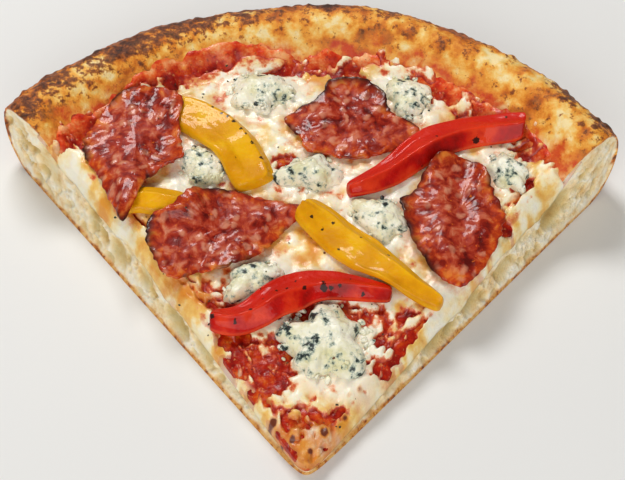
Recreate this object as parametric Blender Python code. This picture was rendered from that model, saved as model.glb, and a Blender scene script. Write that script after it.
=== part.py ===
"""A slice of thick, airy pizza, lying flat: a wedge of dough with a raised rim, a layer of tomato
sauce, a layer of melted mozzarella, four curled slices of pepperoni, five strips of pepper and
eight lumps of blue cheese.

Every piece is worked out in millimetres in a plan frame whose origin is the point where the two
cuts meet and whose +Y runs from that tip to the rim. Pieces are laid one after another, and each
is draped on what is already there. At the end one empty carries them all to the part's own frame,
with its origin under the middle of the slice.
"""

import math

import bmesh
import bpy
import numpy as np
from mathutils import Vector
from mathutils.bvhtree import BVHTree

MM = 0.001

# The wedge, in plan.
SLICE_LENGTH = 160.0  # tip to the outermost point of the rim
HALF_ANGLE = math.radians(40.4)  # from the middle line to either cut
RIM_ARC_RADIUS = 108.3  # the rim curves more tightly than a circle about the tip
RIM_ARC_SIDEWAYS = -4.3  # centre of that arc, off the middle line
TIP_ROUND = 3.0

# The dough, in section.
TIP_THICKNESS = 3.0
INNER_THICKNESS = 18.6  # just inside the rim
INNER_REACH = 112.0  # distance from the tip at which the dough has its inner thickness
LEFT_SIDE_THICKER = 0.13
RIM_HEIGHT = 31.0
RIM_CROWN_INSET = 13.0  # from the outer edge in to the highest line of the rim
RIM_FOOT_INSET = 30.0  # from the outer edge in to the foot of the rim's inner slope
RIM_EQUATOR = 13.0  # height of the outermost line of the rim
RIM_UNDERCUT = 10.0  # how far the underside curls up at the rim
CUT_EDGE_ROUND = 5.0  # width of the rounded top edge along either cut
CUT_EDGE_DROP = 1.8

GAP = 0.35  # left free between one piece and the next

# Each layer: how far its edge lies in from the outer edge of the rim, the waves of that edge as
# (size, count, start), its thickness, and its thickness at that edge.
LAYERS = {
    "tomato_sauce": (22.5, ((1.2, 7, 0.4), (0.8, 15, 2.0)), 1.0, 0.8),
    "mozzarella": (28.5, ((1.8, 5, 1.4), (1.3, 13, 0.5)), 1.8, 0.7),
}
LAYER_SPREAD = 0.996  # share of the way from the middle line to either cut that the layers reach

# How finely the surfaces are divided.
ACROSS_STEPS = 18
RIM_INSETS = (0, 0.8, 2.6, 5.5, 9, 13, 16, 18.5, 21, 23.5, 26.5, 30)
SPAN_STEPS = 16  # from the last of those insets to the tip
CUT_FACE_STEPS = 6
LAYER_INSETS = (0, 2.4, 5.2, 9)
LAYER_STEPS = 10
LUMP_SIDES = 12
PEPPER_STATIONS = 14
PEPPER_SIDES = 7
PEPPERONI_SIDES = 28
PEPPERONI_RINGS = 4

# Large bubbles that the cuts opened: distance from the tip along the cut, height as a share of
# the thickness there, then half length, half height and depth.
LEFT_BUBBLES = (
    (47, 0.50, 5.0, 3.2, 2.2),
    (60, 0.42, 6.5, 3.6, 2.6),
    (76, 0.55, 4.2, 4.0, 2.0),
    (90, 0.45, 5.0, 5.2, 2.2),
    (104, 0.55, 4.0, 4.4, 1.8),
    (126, 0.55, 5.5, 6.0, 1.6),
)
RIGHT_BUBBLES = (
    (38, 0.50, 4.2, 2.2, 1.8),
    (56, 0.45, 7.0, 3.6, 2.6),
    (72, 0.50, 5.0, 4.4, 2.4),
    (87, 0.42, 4.2, 4.0, 1.8),
    (112, 0.55, 7.0, 5.6, 3.0),
)

# Lumps of blue cheese: centre, half width, half length, turn in degrees and height.
BLUE_CHEESE = {
    "blue_cheese_back_left": ((-17.5, 121.0), 9.0, 7.6, 0, 4.2),
    "blue_cheese_back_right": ((27.0, 120.0), 6.8, 7.6, 25, 3.8),
    "blue_cheese_left": ((-32.5, 92.5), 6.8, 6.4, -20, 3.4),
    "blue_cheese_middle": ((18.0, 75.5), 8.4, 6.0, -35, 3.8),
    "blue_cheese_right": ((55.5, 91.0), 4.8, 6.8, 30, 3.4),
    "blue_cheese_front_left": ((-16.0, 54.0), 8.0, 5.6, 30, 3.6),
    "blue_cheese_front": ((4.0, 37.0), 11.0, 10.6, 0, 4.8),
    "blue_cheese_centre": ((-2.0, 90.5), 9.4, 5.6, 10, 4.2),
}

# Strips of pepper: the middle line in plan, widths at its start, middle and end, and height.
PEPPERS = {
    "yellow_pepper_short": (
        ((-55.0, 76.5), (-48.0, 77.5), (-41.5, 77.0), (-35.0, 75.5)),
        (6, 7.5, 6),
        3.6,
    ),
    "yellow_pepper_left": (
        ((-45.0, 111.5), (-38.0, 110.6), (-31.6, 107.0), (-25.8, 101.0), (-20.6, 93.5), (-16.4, 85.0)),
        (8, 10.4, 9),
        5.0,
    ),
    "red_pepper_front": (
        (
            (-27.0, 40.8), (-20.5, 40.6), (-14.2, 43.6), (-8.0, 48.2), (-1.5, 52.4), (5.5, 53.6), (12.5, 52.4),
            (22.0, 50.4),
        ),
        (3.4, 8.8, 4.6),
        5.6,
    ),
    "yellow_pepper_long": (
        ((-3.5, 77.5), (2.5, 73.2), (8.5, 67.4), (15.0, 62.2), (21.5, 57.4), (28.0, 52.4), (35.0, 47.4)),
        (8, 9.6, 3.4),
        5.0,
    ),
    "red_pepper_back": (
        (
            (9.5, 84.0), (15.0, 86.2), (22.0, 90.6), (30.0, 97.6), (38.0, 102.8), (46.0, 105.8), (54.0, 106.4),
            (61.0, 105.4),
        ),
        (3.8, 9.0, 4.6),
        5.8,
    ),
}

# Pepperoni slices: the outline in plan, each point with how far the edge has curled up there, then
# the folds that stand up across the slice: each one's two ends, half width and height.
PEPPERONI = {
    "pepperoni_front_left": (
        (
            (-46.2, 64.0, 1.8), (-45.5, 70.0, 1.6), (-41.5, 73.2, 0.6), (-37.3, 76.0, 1.0), (-34.0, 80.0, 2.0),
            (-27.4, 81.6, 1.8), (-19.0, 81.2, 0.4), (-11.4, 79.6, 0.6), (-5.0, 78.2, 1.4), (-3.2, 76.0, 1.0),
            (-7.8, 70.2, 0.2), (-13.0, 63.4, 0.2), (-19.4, 57.8, 0.3), (-25.0, 55.2, 0.8), (-31.0, 54.8, 0.2),
            (-38.0, 51.8, 0.6), (-43.4, 57.2, 1.2),
        ),
        (((-36, 74), (-14, 74), 6.0, 1.0), ((-24, 58), (-20, 66), 4.0, 0.8)),
    ),
    "pepperoni_left": (
        (
            (-62.2, 112.0, 1.0), (-58.0, 116.6, 1.6), (-51.0, 118.6, 1.8), (-44.4, 117.4, 1.2),
            (-40.2, 113.0, 0.6), (-40.4, 105.0, 0.4), (-38.8, 96.0, 0.8), (-38.4, 91.0, 1.4),
            (-44.5, 87.4, 1.6), (-48.6, 81.6, 0.6), (-50.0, 75.0, 0.2), (-53.0, 68.4, 0.2),
            (-56.4, 73.4, 0.2), (-61.0, 83.0, 0.3), (-66.0, 90.6, 0.6), (-68.2, 97.0, 1.0),
            (-65.8, 104.6, 1.2),
        ),
        (((-54, 110), (-53, 84), 6.0, 2.2), ((-62, 100), (-58, 84), 3.5, 1.0)),
    ),
    "pepperoni_back": (
        (
            (-9.8, 107.6, 1.0), (-5.8, 112.4, 1.6), (0.2, 116.0, 2.6), (3.0, 121.6, 3.8), (8.5, 123.4, 4.0),
            (14.5, 122.4, 4.0), (19.4, 119.2, 3.4), (21.6, 112.6, 2.0), (25.6, 109.2, 1.8), (30.2, 106.2, 1.2),
            (29.4, 102.8, 0.4), (22.6, 98.6, 0.2), (14.5, 95.6, 0.2), (5.5, 96.2, 0.2), (-2.8, 97.6, 0.4),
            (-5.2, 102.4, 0.4),
        ),
        (((4, 112), (14, 112), 6.0, 1.6),),
    ),
    "pepperoni_right": (
        (
            (35.6, 94.6, 1.2), (41.0, 95.0, 1.0), (47.2, 92.8, 1.2), (50.0, 88.0, 1.4), (51.2, 82.0, 1.2),
            (54.0, 76.0, 1.2), (53.2, 71.4, 0.6), (50.6, 64.6, 0.3), (45.0, 55.8, 0.2), (39.6, 53.2, 0.4),
            (34.2, 56.6, 0.6), (29.6, 63.4, 0.8), (25.6, 72.4, 1.2), (24.2, 78.6, 1.4), (28.0, 83.2, 1.6),
            (31.4, 89.2, 1.6),
        ),
        (((34, 84), (37, 58), 5.0, 2.4), ((46, 84), (46, 68), 4.0, 1.0)),
    ),
}
PEPPERONI_THICKNESS = 1.5

# What lies on what: the order in which the pieces are laid.
LAYING_ORDER = (
    "tomato_sauce",
    "mozzarella",
    "blue_cheese_back_left",
    "blue_cheese_back_right",
    "blue_cheese_left",
    "blue_cheese_middle",
    "blue_cheese_right",
    "blue_cheese_front_left",
    "blue_cheese_front",
    "yellow_pepper_short",
    "yellow_pepper_left",
    "pepperoni_front_left",
    "pepperoni_left",
    "red_pepper_front",
    "yellow_pepper_long",
    "pepperoni_back",
    "red_pepper_back",
    "pepperoni_right",
    "blue_cheese_centre",
)

COLOURS = {
    "dough": ((0.78, 0.56, 0.29), 0.75),
    "tomato_sauce": ((0.55, 0.05, 0.02), 0.35),
    "mozzarella": ((0.86, 0.74, 0.52), 0.35),
    "blue_cheese": ((0.80, 0.79, 0.62), 0.45),
    "yellow_pepper": ((0.82, 0.45, 0.01), 0.2),
    "red_pepper": ((0.66, 0.02, 0.01), 0.2),
    "pepperoni": ((0.36, 0.05, 0.03), 0.35),
}


# ---- Plan and section of the dough -------------------------------------------------------


def edge_radius(angle):
    """Distance from the tip to the rim's outer edge, at an angle from the middle line."""
    centre_y = SLICE_LENGTH - RIM_ARC_RADIUS
    along = RIM_ARC_SIDEWAYS * np.sin(angle) + centre_y * np.cos(angle)
    beside = RIM_ARC_SIDEWAYS**2 + centre_y**2 - RIM_ARC_RADIUS**2
    bumps = 0.5 * np.sin(9 * angle + 1.0) + 0.4 * np.sin(17 * angle + 0.4)
    return along + np.sqrt(along**2 - beside) + bumps


def polar(x, y):
    """Distance from the tip and angle from the middle line, of a point in plan."""
    return np.hypot(x, y), np.arctan2(x, y)


def cut_distance(x, y):
    """How far a point lies from the nearer cut."""
    r, angle = polar(x, y)
    return r * np.sin(np.clip(HALF_ANGLE - np.abs(angle), 0, None))


def dough_top(x, y):
    """Height of the dough: it thickens from the tip to the rim, and the rim stands up round."""
    r, angle = polar(x, y)
    inset = np.clip(edge_radius(angle) - r, 0, None)
    share = np.clip(r / INNER_REACH, 0, 1) ** 0.85
    lean = 1 - LEFT_SIDE_THICKER * np.sin(angle) / math.sin(HALF_ANGLE) * (1 - share**3)
    inner = TIP_THICKNESS + (INNER_THICKNESS - TIP_THICKNESS) * share * lean
    inner = inner + 0.5 * np.sin(x / 13 + 1) * np.sin(y / 15) * share
    crown = RIM_HEIGHT + 0.9 * np.sin(5 * angle + 0.6) + 0.6 * np.sin(11 * angle)
    down = np.clip((inset - RIM_CROWN_INSET) / (RIM_FOOT_INSET - RIM_CROWN_INSET), 0, 1)
    slope = inner + (crown - inner) * 0.5 * (1 + np.cos(np.pi * down))
    out = np.clip((RIM_CROWN_INSET - inset) / RIM_CROWN_INSET, 0, 1)
    shoulder = RIM_EQUATOR + (crown - RIM_EQUATOR) * np.sqrt(1 - out**2)
    height = np.where(inset < RIM_CROWN_INSET, shoulder, slope)
    near_cut = np.clip(1 - cut_distance(x, y) / CUT_EDGE_ROUND, 0, 1) ** 2
    near_cut = near_cut * np.clip(inset / RIM_CROWN_INSET, 0, 1) * np.clip(r / 20, 0, 1)
    return height - CUT_EDGE_DROP * near_cut


def dough_bottom(x, y):
    """Flat on the table, and curling up to the outermost line of the rim."""
    r, angle = polar(x, y)
    out = np.clip(1 - (edge_radius(angle) - r) / RIM_UNDERCUT, 0, 1)
    return RIM_EQUATOR * (1 - np.sqrt(1 - out**2))


def across_values():
    """From the left cut, -1, to the right cut, 1, closer together near the cuts."""
    return np.sin(np.linspace(-1, 1, ACROSS_STEPS + 1) * np.pi / 2)


def plan_grid(across, inset_rows, inner_steps, edge_inset=0.0):
    """Plan points of rows that follow the rim, then close on the rounded tip."""
    angle = across * HALF_ANGLE
    edge = edge_radius(angle) - edge_inset
    last = edge - inset_rows[-1]
    rows = [edge - inset for inset in inset_rows]
    rows += [last * share for share in np.linspace(1, 0, inner_steps + 1)[1:]]
    r = np.array(rows)
    return r * np.sin(angle), np.sqrt((r * np.cos(angle)) ** 2 + TIP_ROUND**2)


# ---- Meshes ------------------------------------------------------------------------------


def add_grid(bm, points):
    """Adds a sheet of four-sided faces over a grid of points, shaped rows x columns x 3."""
    verts = [[bm.verts.new(point) for point in row] for row in points]
    for near, far in zip(verts, verts[1:]):
        for a, b, c, d in zip(near, near[1:], far[1:], far):
            bm.faces.new((a, b, c, d))


def finish_mesh(name, kind, bm):
    """Closes the seams, points the faces out, and makes the object in metres."""
    bmesh.ops.remove_doubles(bm, verts=bm.verts, dist=0.004)
    bmesh.ops.dissolve_degenerate(bm, edges=bm.edges, dist=0.004)
    bmesh.ops.recalc_face_normals(bm, faces=bm.faces)
    bmesh.ops.triangulate(bm, faces=[f for f in bm.faces if len(f.verts) > 4])
    bmesh.ops.scale(bm, vec=(MM, MM, MM), verts=bm.verts)
    mesh = bpy.data.meshes.new(name)
    bm.to_mesh(mesh)
    bm.free()
    mesh.shade_smooth()
    mesh.set_sharp_from_angle(angle=math.radians(40))
    mesh.materials.append(material_of(kind))
    made = bpy.data.objects.new(name, mesh)
    bpy.context.scene.collection.objects.link(made)
    return made


def material_of(kind):
    """The finish of one kind of food, made once."""
    if kind in bpy.data.materials:
        return bpy.data.materials[kind]
    colour, roughness = COLOURS[kind]
    material = bpy.data.materials.new(kind)
    material.use_nodes = True
    shader = material.node_tree.nodes["Principled BSDF"]
    shader.inputs["Base Color"].default_value = (*colour, 1)
    shader.inputs["Roughness"].default_value = roughness
    shader.inputs["Metallic"].default_value = 0
    return material


def stacked(low, high, levels):
    """Grid of points from one line up to another."""
    shares = np.linspace(0, 1, levels + 1)[:, None, None]
    return low[None] + (high - low)[None] * shares


def bubbled_wall(wall, bubbles, inward):
    """A cut face pushed in where the cut opened a bubble. The wall's own edges stay put."""
    wall = wall.copy()
    reach = np.hypot(wall[..., 0], wall[..., 1])
    share = np.linspace(0, 1, wall.shape[0])[:, None]
    thickness = wall[-1, :, 2] - wall[0, :, 2]
    for along, height, half_length, half_height, depth in bubbles:
        away = np.hypot((reach - along) / half_length, (share - height) * thickness / half_height)
        pushed = depth * np.sqrt(np.clip(1 - away**2, 0, None))
        pushed[[0, -1]] = 0
        wall[..., :2] += pushed[..., None] * inward
    return wall


def make_dough():
    """The wedge: top and underside share one plan grid, and the two cut faces close it."""
    x, y = plan_grid(across_values(), RIM_INSETS, SPAN_STEPS)
    top = np.stack([x, y, dough_top(x, y)], -1)
    bottom = np.stack([x, y, dough_bottom(x, y)], -1)
    bm = bmesh.new()
    add_grid(bm, top)
    add_grid(bm, bottom)
    for column, side, bubbles in ((0, -1, LEFT_BUBBLES), (-1, 1, RIGHT_BUBBLES)):
        inward = np.array((-side * math.cos(HALF_ANGLE), math.sin(HALF_ANGLE)))
        wall = stacked(bottom[:, column], top[:, column], CUT_FACE_STEPS)
        add_grid(bm, bubbled_wall(wall, bubbles, inward))
    bmesh.ops.remove_doubles(bm, verts=bm.verts, dist=0.004)
    underside = [face for face in bm.faces if max(vert.co.z for vert in face.verts) < 1e-6]
    bmesh.ops.dissolve_faces(bm, faces=underside)
    return finish_mesh("dough", "dough", bm)


def make_layer(name, pile):
    """A thin layer that lies on the pile, with a wavy edge towards the rim."""
    rim_inset, waves, thickness, edge_thickness = LAYERS[name]
    across = across_values() * LAYER_SPREAD
    wave = sum(size * np.sin(count * across + start) for size, count, start in waves)
    x, y = plan_grid(across, LAYER_INSETS, LAYER_STEPS, rim_inset + wave)
    under = pile.heights(x, y, 1.0)
    thick = np.full_like(x, thickness)
    thick[0] = edge_thickness
    thick[:, [0, -1]] = np.minimum(thick[:, [0, -1]], (thickness + edge_thickness) / 2)
    top = np.stack([x, y, under + thick], -1)
    bottom = np.stack([x, y, under], -1)
    bm = bmesh.new()
    add_grid(bm, top)
    add_grid(bm, bottom)
    for column in (0, -1):
        add_grid(bm, stacked(bottom[:, column], top[:, column], 1))
    add_grid(bm, stacked(bottom[0], top[0], 1))
    return finish_mesh(name, name, bm)


# ---- Laying the toppings -----------------------------------------------------------------


class Pile:
    """What has been laid so far, asked for its highest point near a point in plan."""

    def __init__(self):
        self.trees = []

    def add(self, made):
        mesh = made.data
        points = [v.co / MM for v in mesh.vertices]
        self.trees.append(BVHTree.FromPolygons(points, [list(p.vertices) for p in mesh.polygons]))

    def height(self, x, y, reach):
        """The highest surface within reach of (x, y)."""
        turns = [2 * math.pi * k / 8 for k in range(8)]
        around = [(radius * math.cos(t), radius * math.sin(t)) for radius in (reach, reach / 2) for t in turns]
        best = 0.0
        for dx, dy in [(0, 0), *around]:
            for tree in self.trees:
                hit = tree.ray_cast(Vector((x + dx, y + dy, 100)), Vector((0, 0, -1)))[0]
                if hit is not None:
                    best = max(best, hit.z)
        return best

    def heights(self, x, y, reach):
        """The same for whole arrays of points."""
        flat = [self.height(a, b, reach) for a, b in zip(np.ravel(x), np.ravel(y))]
        return np.reshape(flat, np.shape(x)) + GAP


def smooth_line(points, count, closed=False):
    """Points along a Catmull-Rom curve through the given ones."""
    points = np.array(points, float)
    if closed:
        padded = np.vstack([points[-1], points, points[:2]])
    else:
        padded = np.vstack([2 * points[0] - points[1], points, 2 * points[-1] - points[-2]])
    spans = len(padded) - 3
    at = np.linspace(0, spans, count + 1)[:-1] if closed else np.linspace(0, spans, count)
    first = np.minimum(at.astype(int), spans - 1)
    t = (at - first)[:, None]
    a, b, c, d = (padded[first + k] for k in range(4))
    return 0.5 * (2 * b + (c - a) * t + (2 * a - 5 * b + 4 * c - d) * t**2 + (3 * b - a - 3 * c + d) * t**3)


def relax(height, axis, passes):
    """Lets a piece bridge dips along one axis of its grid, without sinking into what is below."""
    for _ in range(passes):
        near = np.moveaxis(height, axis, 0)
        wide = near.copy()
        wide[1:-1] = (near[:-2] + near[2:]) / 2
        height = np.maximum(height, np.moveaxis(wide, 0, axis))
    return height


def make_lump(name, pile):
    """A rough dome of crumbled cheese: rings that shrink as they rise, with an uneven outline."""
    (cx, cy), half_width, half_length, turn, rise = BLUE_CHEESE[name]
    angle = np.arange(LUMP_SIDES) / LUMP_SIDES * 2 * np.pi
    outline = 1 + 0.10 * np.sin(3 * angle + cx) + 0.07 * np.sin(5 * angle + cy)
    turned = math.radians(turn)
    out = np.array([1.0, 0.92, 0.68, 0.34])[:, None]
    wide = half_width * outline * np.cos(angle) * out
    long = half_length * outline * np.sin(angle) * out
    x = cx + wide * math.cos(turned) - long * math.sin(turned)
    y = cy + wide * math.sin(turned) + long * math.cos(turned)
    under = pile.heights(x, y, 2.6)
    lift = np.array([0.28, 0.58, 0.9, 1.0])[:, None]
    rough = 1 + 0.12 * np.sin(2 * angle + cx) * np.sin(np.pi * out)
    top = np.stack([x, y, under + rise * lift * rough], -1)
    bottom = np.stack([x, y, under], -1)
    bm = bmesh.new()
    around = list(range(LUMP_SIDES)) + [0]
    for surface in (top, bottom):
        add_grid(bm, surface[:, around])
        bm.faces.new([bm.verts.new(point) for point in surface[-1]])
    add_grid(bm, stacked(bottom[0], top[0], 1)[:, around])
    return finish_mesh(name, "blue_cheese", bm)


def make_pepper(name, pile):
    """A strip of pepper: a rounded back over a flat underside, swept along its middle line."""
    line, widths, rise = PEPPERS[name]
    middle = smooth_line(line, PEPPER_STATIONS)
    along = np.gradient(middle, axis=0)
    along /= np.linalg.norm(along, axis=1)[:, None]
    side = np.stack([-along[:, 1], along[:, 0]], -1)
    share = np.linspace(0, 1, PEPPER_STATIONS)
    width = np.interp(share, [0, 0.5, 1], widths)
    taper = np.sqrt(np.clip(1 - np.abs(2 * share - 1) ** 6 * 0.75, 0, 1))
    half = width * taper / 2
    section = np.sin(np.linspace(-1, 1, PEPPER_SIDES + 1) * np.pi / 2)
    x = middle[:, 0, None] + side[:, 0, None] * half[:, None] * section
    y = middle[:, 1, None] + side[:, 1, None] * half[:, None] * section
    under = relax(pile.heights(x, y, 1.8), 0, 4)
    under = np.maximum(under, under.max(axis=1, keepdims=True) - 1.6)
    back = 0.22 + 0.78 * np.sqrt(np.clip(1 - section**2 * 0.97, 0, 1))
    high = under + rise * back * (0.55 + 0.45 * taper[:, None])
    top = np.stack([x, y, high], -1)
    bottom = np.stack([x, y, under], -1)
    bm = bmesh.new()
    add_grid(bm, top)
    add_grid(bm, bottom)
    for row in (0, -1):
        add_grid(bm, stacked(bottom[row], top[row], 1))
        add_grid(bm, stacked(bottom[:, row], top[:, row], 1))
    return finish_mesh(name, name.rsplit("_", 1)[0], bm)


def smoothed_disc(height):
    """Evens out a disc of rings, each point towards its neighbours round its ring and across it."""
    round_ring = (np.roll(height, 1, axis=1) + np.roll(height, -1, axis=1)) / 2
    outward = np.vstack([height[:1], height[:-1]])
    inward = np.vstack([height[1:], height[-1:]])
    evened = (height + round_ring + (outward + inward) / 2) / 3
    evened[-1] = evened[-1].mean()
    return evened


def fold_height(x, y, folds):
    """How far the folds lift a slice: each is a rounded ridge about a straight line in plan."""
    lifted = np.zeros_like(x)
    for (ax, ay), (bx, by), half_width, rise in folds:
        length = (bx - ax) ** 2 + (by - ay) ** 2
        share = np.clip(((x - ax) * (bx - ax) + (y - ay) * (by - ay)) / length, 0, 1)
        away = np.hypot(x - ax - share * (bx - ax), y - ay - share * (by - ay))
        lifted = np.maximum(lifted, rise * np.exp(-((away / half_width) ** 2)))
    return lifted


def make_pepperoni(name, pile):
    """A thin slice draped on the pile, with an edge that curls up and folds that stand up."""
    outline, folds = PEPPERONI[name]
    edge = smooth_line(outline, PEPPERONI_SIDES, closed=True)
    centre = edge[:, :2].mean(axis=0)
    out = np.linspace(1, 0, PEPPERONI_RINGS + 1)[:, None]
    x = centre[0] + (edge[:, 0] - centre[0]) * out
    y = centre[1] + (edge[:, 1] - centre[1]) * out
    rest = pile.heights(x, y, 2.2)
    under = rest
    for _ in range(4):
        under = np.maximum(rest, smoothed_disc(under))
    under = under + fold_height(x, y, folds) * (1 - out**8) + edge[:, 2] * out**3
    top = np.stack([x, y, under + PEPPERONI_THICKNESS], -1)
    bottom = np.stack([x, y, under], -1)
    bm = bmesh.new()
    around = list(range(PEPPERONI_SIDES)) + [0]
    add_grid(bm, top[:, around])
    add_grid(bm, bottom[:, around])
    add_grid(bm, stacked(bottom[0], top[0], 1)[:, around])
    return finish_mesh(name, "pepperoni", bm)


# ---- The slice ---------------------------------------------------------------------------


def main():
    for old in list(bpy.data.objects):
        bpy.data.objects.remove(old)

    pile = Pile()
    made = [make_dough()]
    pile.add(made[0])
    for name in LAYING_ORDER:
        if name in LAYERS:
            piece = make_layer(name, pile)
        elif name in BLUE_CHEESE:
            piece = make_lump(name, pile)
        elif name in PEPPERS:
            piece = make_pepper(name, pile)
        else:
            piece = make_pepperoni(name, pile)
        pile.add(piece)
        made.append(piece)

    corners = np.array([v.co for v in made[0].data.vertices])
    low, high = corners.min(axis=0), corners.max(axis=0)
    carrier = bpy.data.objects.new("slice", None)
    bpy.context.scene.collection.objects.link(carrier)
    carrier.location = (-(low[0] + high[0]) / 2, -(low[1] + high[1]) / 2, 0)
    for piece in made:
        piece.parent = carrier


main()
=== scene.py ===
# A slice of airy pizza with pepperoni, peppers and blue cheese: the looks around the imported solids.
# Shapes are worked out in millimetres in plan, from the tip of the slice (the origin) towards its
# rim (+Y), and moved to the frame's own place when they become a mesh.

import math

import bmesh
import bpy
import numpy as np
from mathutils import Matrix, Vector


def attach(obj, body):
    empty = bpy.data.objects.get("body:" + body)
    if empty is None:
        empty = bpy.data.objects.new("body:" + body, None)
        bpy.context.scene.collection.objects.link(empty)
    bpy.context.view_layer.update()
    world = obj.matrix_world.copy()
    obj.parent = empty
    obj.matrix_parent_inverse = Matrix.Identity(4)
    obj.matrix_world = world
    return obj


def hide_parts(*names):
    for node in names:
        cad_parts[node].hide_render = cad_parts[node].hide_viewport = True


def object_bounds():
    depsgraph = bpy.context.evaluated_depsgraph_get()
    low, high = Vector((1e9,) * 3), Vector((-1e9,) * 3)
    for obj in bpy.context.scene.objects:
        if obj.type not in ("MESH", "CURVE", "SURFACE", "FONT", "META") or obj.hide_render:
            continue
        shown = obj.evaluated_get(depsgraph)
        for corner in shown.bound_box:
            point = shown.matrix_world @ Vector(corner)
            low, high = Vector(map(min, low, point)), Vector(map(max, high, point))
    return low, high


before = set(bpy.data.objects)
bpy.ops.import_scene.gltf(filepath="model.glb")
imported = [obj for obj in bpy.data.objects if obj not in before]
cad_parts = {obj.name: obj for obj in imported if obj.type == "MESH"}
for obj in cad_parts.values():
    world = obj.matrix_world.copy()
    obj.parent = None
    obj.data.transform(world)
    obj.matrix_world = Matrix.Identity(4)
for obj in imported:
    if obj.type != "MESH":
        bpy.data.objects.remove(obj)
cadBox = [list(corner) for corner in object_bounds()]
rng = np.random.default_rng(11)

# the slice in plan and section
wedge = {
    "length": 160.0,  # tip to the outermost point of the rim
    "halfAngle": math.radians(40.4),
    "arcRadius": 108.3,  # of the rim's outer edge
    "arcSideways": -4.3,
    "tipRound": 3.0,
    "tipThickness": 3.0,
    "innerThickness": 18.6,
    "innerReach": 112.0,
    "leftThicker": 0.13,
    "rimHeight": 31.0,
    "crownInset": 13.0,
    "footInset": 30.0,
    "equator": 13.0,
    "undercut": 10.0,
    "edgeRound": 5.0,
    "edgeDrop": 1.8,
    "lean": 0.27,  # of the cuts, inwards per millimetre of height
}
halfAngle = wedge["halfAngle"]


def edgeRadius(angle):
    # distance from the tip to the rim's outer edge: a circle off the tip, with two slow waves
    cy = wedge["length"] - wedge["arcRadius"]
    cx = wedge["arcSideways"]
    along = cx * np.sin(angle) + cy * np.cos(angle)
    bumps = 0.5 * np.sin(9 * angle + 1.0) + 0.4 * np.sin(17 * angle + 0.4)
    return along + np.sqrt(along**2 - cx**2 - cy**2 + wedge["arcRadius"] ** 2) + bumps


def smoothStep(low, high, value):
    # 0 below low, 1 above high, and 3t^2 - 2t^3 between them
    t = np.clip((value - low) / (high - low), 0, 1)
    return t * t * (3 - 2 * t)


def cutDistance(x, y):
    # how far a point lies from the nearer cut: r sin(half angle - |angle|)
    r, angle = np.hypot(x, y), np.arctan2(x, y)
    return r * np.sin(np.clip(halfAngle - np.abs(angle), 0, None))


def rimInset(x, y):
    # how far a point lies in from the rim's outer edge, along its own radius
    return np.clip(edgeRadius(np.arctan2(x, y)) - np.hypot(x, y), 0, None)


def doughTop(x, y):
    # thickens with (r / reach)^0.85, then a cosine slope up to the crown and an ellipse down to the equator
    w = wedge
    r, angle = np.hypot(x, y), np.arctan2(x, y)
    inset = rimInset(x, y)
    share = np.clip(r / w["innerReach"], 0, 1) ** 0.85
    lean = 1 - w["leftThicker"] * np.sin(angle) / math.sin(halfAngle) * (1 - share**3)
    inner = w["tipThickness"] + (w["innerThickness"] - w["tipThickness"]) * share * lean
    inner = inner + 0.5 * np.sin(x / 13 + 1) * np.sin(y / 15) * share
    crown = w["rimHeight"] + 0.9 * np.sin(5 * angle + 0.6) + 0.6 * np.sin(11 * angle)
    down = np.clip((inset - w["crownInset"]) / (w["footInset"] - w["crownInset"]), 0, 1)
    slope = inner + (crown - inner) * 0.5 * (1 + np.cos(np.pi * down))
    out = np.clip((w["crownInset"] - inset) / w["crownInset"], 0, 1)
    shoulder = w["equator"] + (crown - w["equator"]) * np.sqrt(1 - out**2)
    height = np.where(inset < w["crownInset"], shoulder, slope)
    nearCut = np.clip(1 - cutDistance(x, y) / w["edgeRound"], 0, 1) ** 2
    nearCut = nearCut * np.clip(inset / w["crownInset"], 0, 1) * np.clip(r / 20, 0, 1)
    return height - w["edgeDrop"] * nearCut


def doughBottom(x, y):
    # flat on the table, and a quarter ellipse up to the equator at the rim
    out = np.clip(1 - rimInset(x, y) / wedge["undercut"], 0, 1)
    return wedge["equator"] * (1 - np.sqrt(1 - out**2))


def leaned(points):
    # the cuts lean in: a point moves away from the nearer cut by lean times its height, less and less from 0 to
    # 15 mm inside it, and not at all at the rim and the tip
    x, y, z = points.T
    turn = np.arctan2(x, y) / halfAngle
    shift = wedge["lean"] * z * smoothStep(15, 0, cutDistance(x, y)) * smoothStep(10, 34, rimInset(x, y))
    shift = shift * smoothStep(0, 22, np.hypot(x, y))
    return np.stack([x - turn * shift * math.cos(halfAngle), y + turn**2 * shift * math.sin(halfAngle), z], -1)


leftmost = -edgeRadius(-halfAngle) * math.sin(halfAngle)
toFrame = np.array([cadBox[0][0] * 1000 - leftmost, cadBox[0][1] * 1000 - wedge["tipRound"], 0.0])

# random values on a lattice, which every kind of unevenness below reads
lattice = rng.random((64, 64, 64)).astype(np.float32)


def softNoise(x, y, z, size, turn=0):
    # lattice values `size` apart, joined along each axis by 3t^2 - 2t^3; from -1 to 1
    corner, blend = [], []
    for k, value in enumerate(np.broadcast_arrays(x, y, z)):
        place = value / size + 9.7 * turn + 3.1 * k
        whole = np.floor(place)
        t = (place - whole).astype(np.float32)
        corner.append(whole.astype(np.int64))
        blend.append(t * t * (3 - 2 * t))
    total = 0
    for dx in (0, 1):
        for dy in (0, 1):
            for dz in (0, 1):
                weight = (blend[0] if dx else 1 - blend[0]) * (blend[1] if dy else 1 - blend[1])
                weight = weight * (blend[2] if dz else 1 - blend[2])
                total = total + weight * lattice[
                    (corner[0] + dx) % 64, (corner[1] + dy) % 64, (corner[2] + dz) % 64
                ]
    return 2 * total - 1


def roughNoise(x, y, z, size, octaves=4, turn=0, fade=0.5):
    # soft noise at size, size / 2, size / 4 ..., each `fade` times as strong as the one before
    total = sum(fade**k * softNoise(x, y, z, size / 2**k, turn + 1.7 * k) for k in range(octaves))
    return total / sum(fade**k for k in range(octaves))


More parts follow.
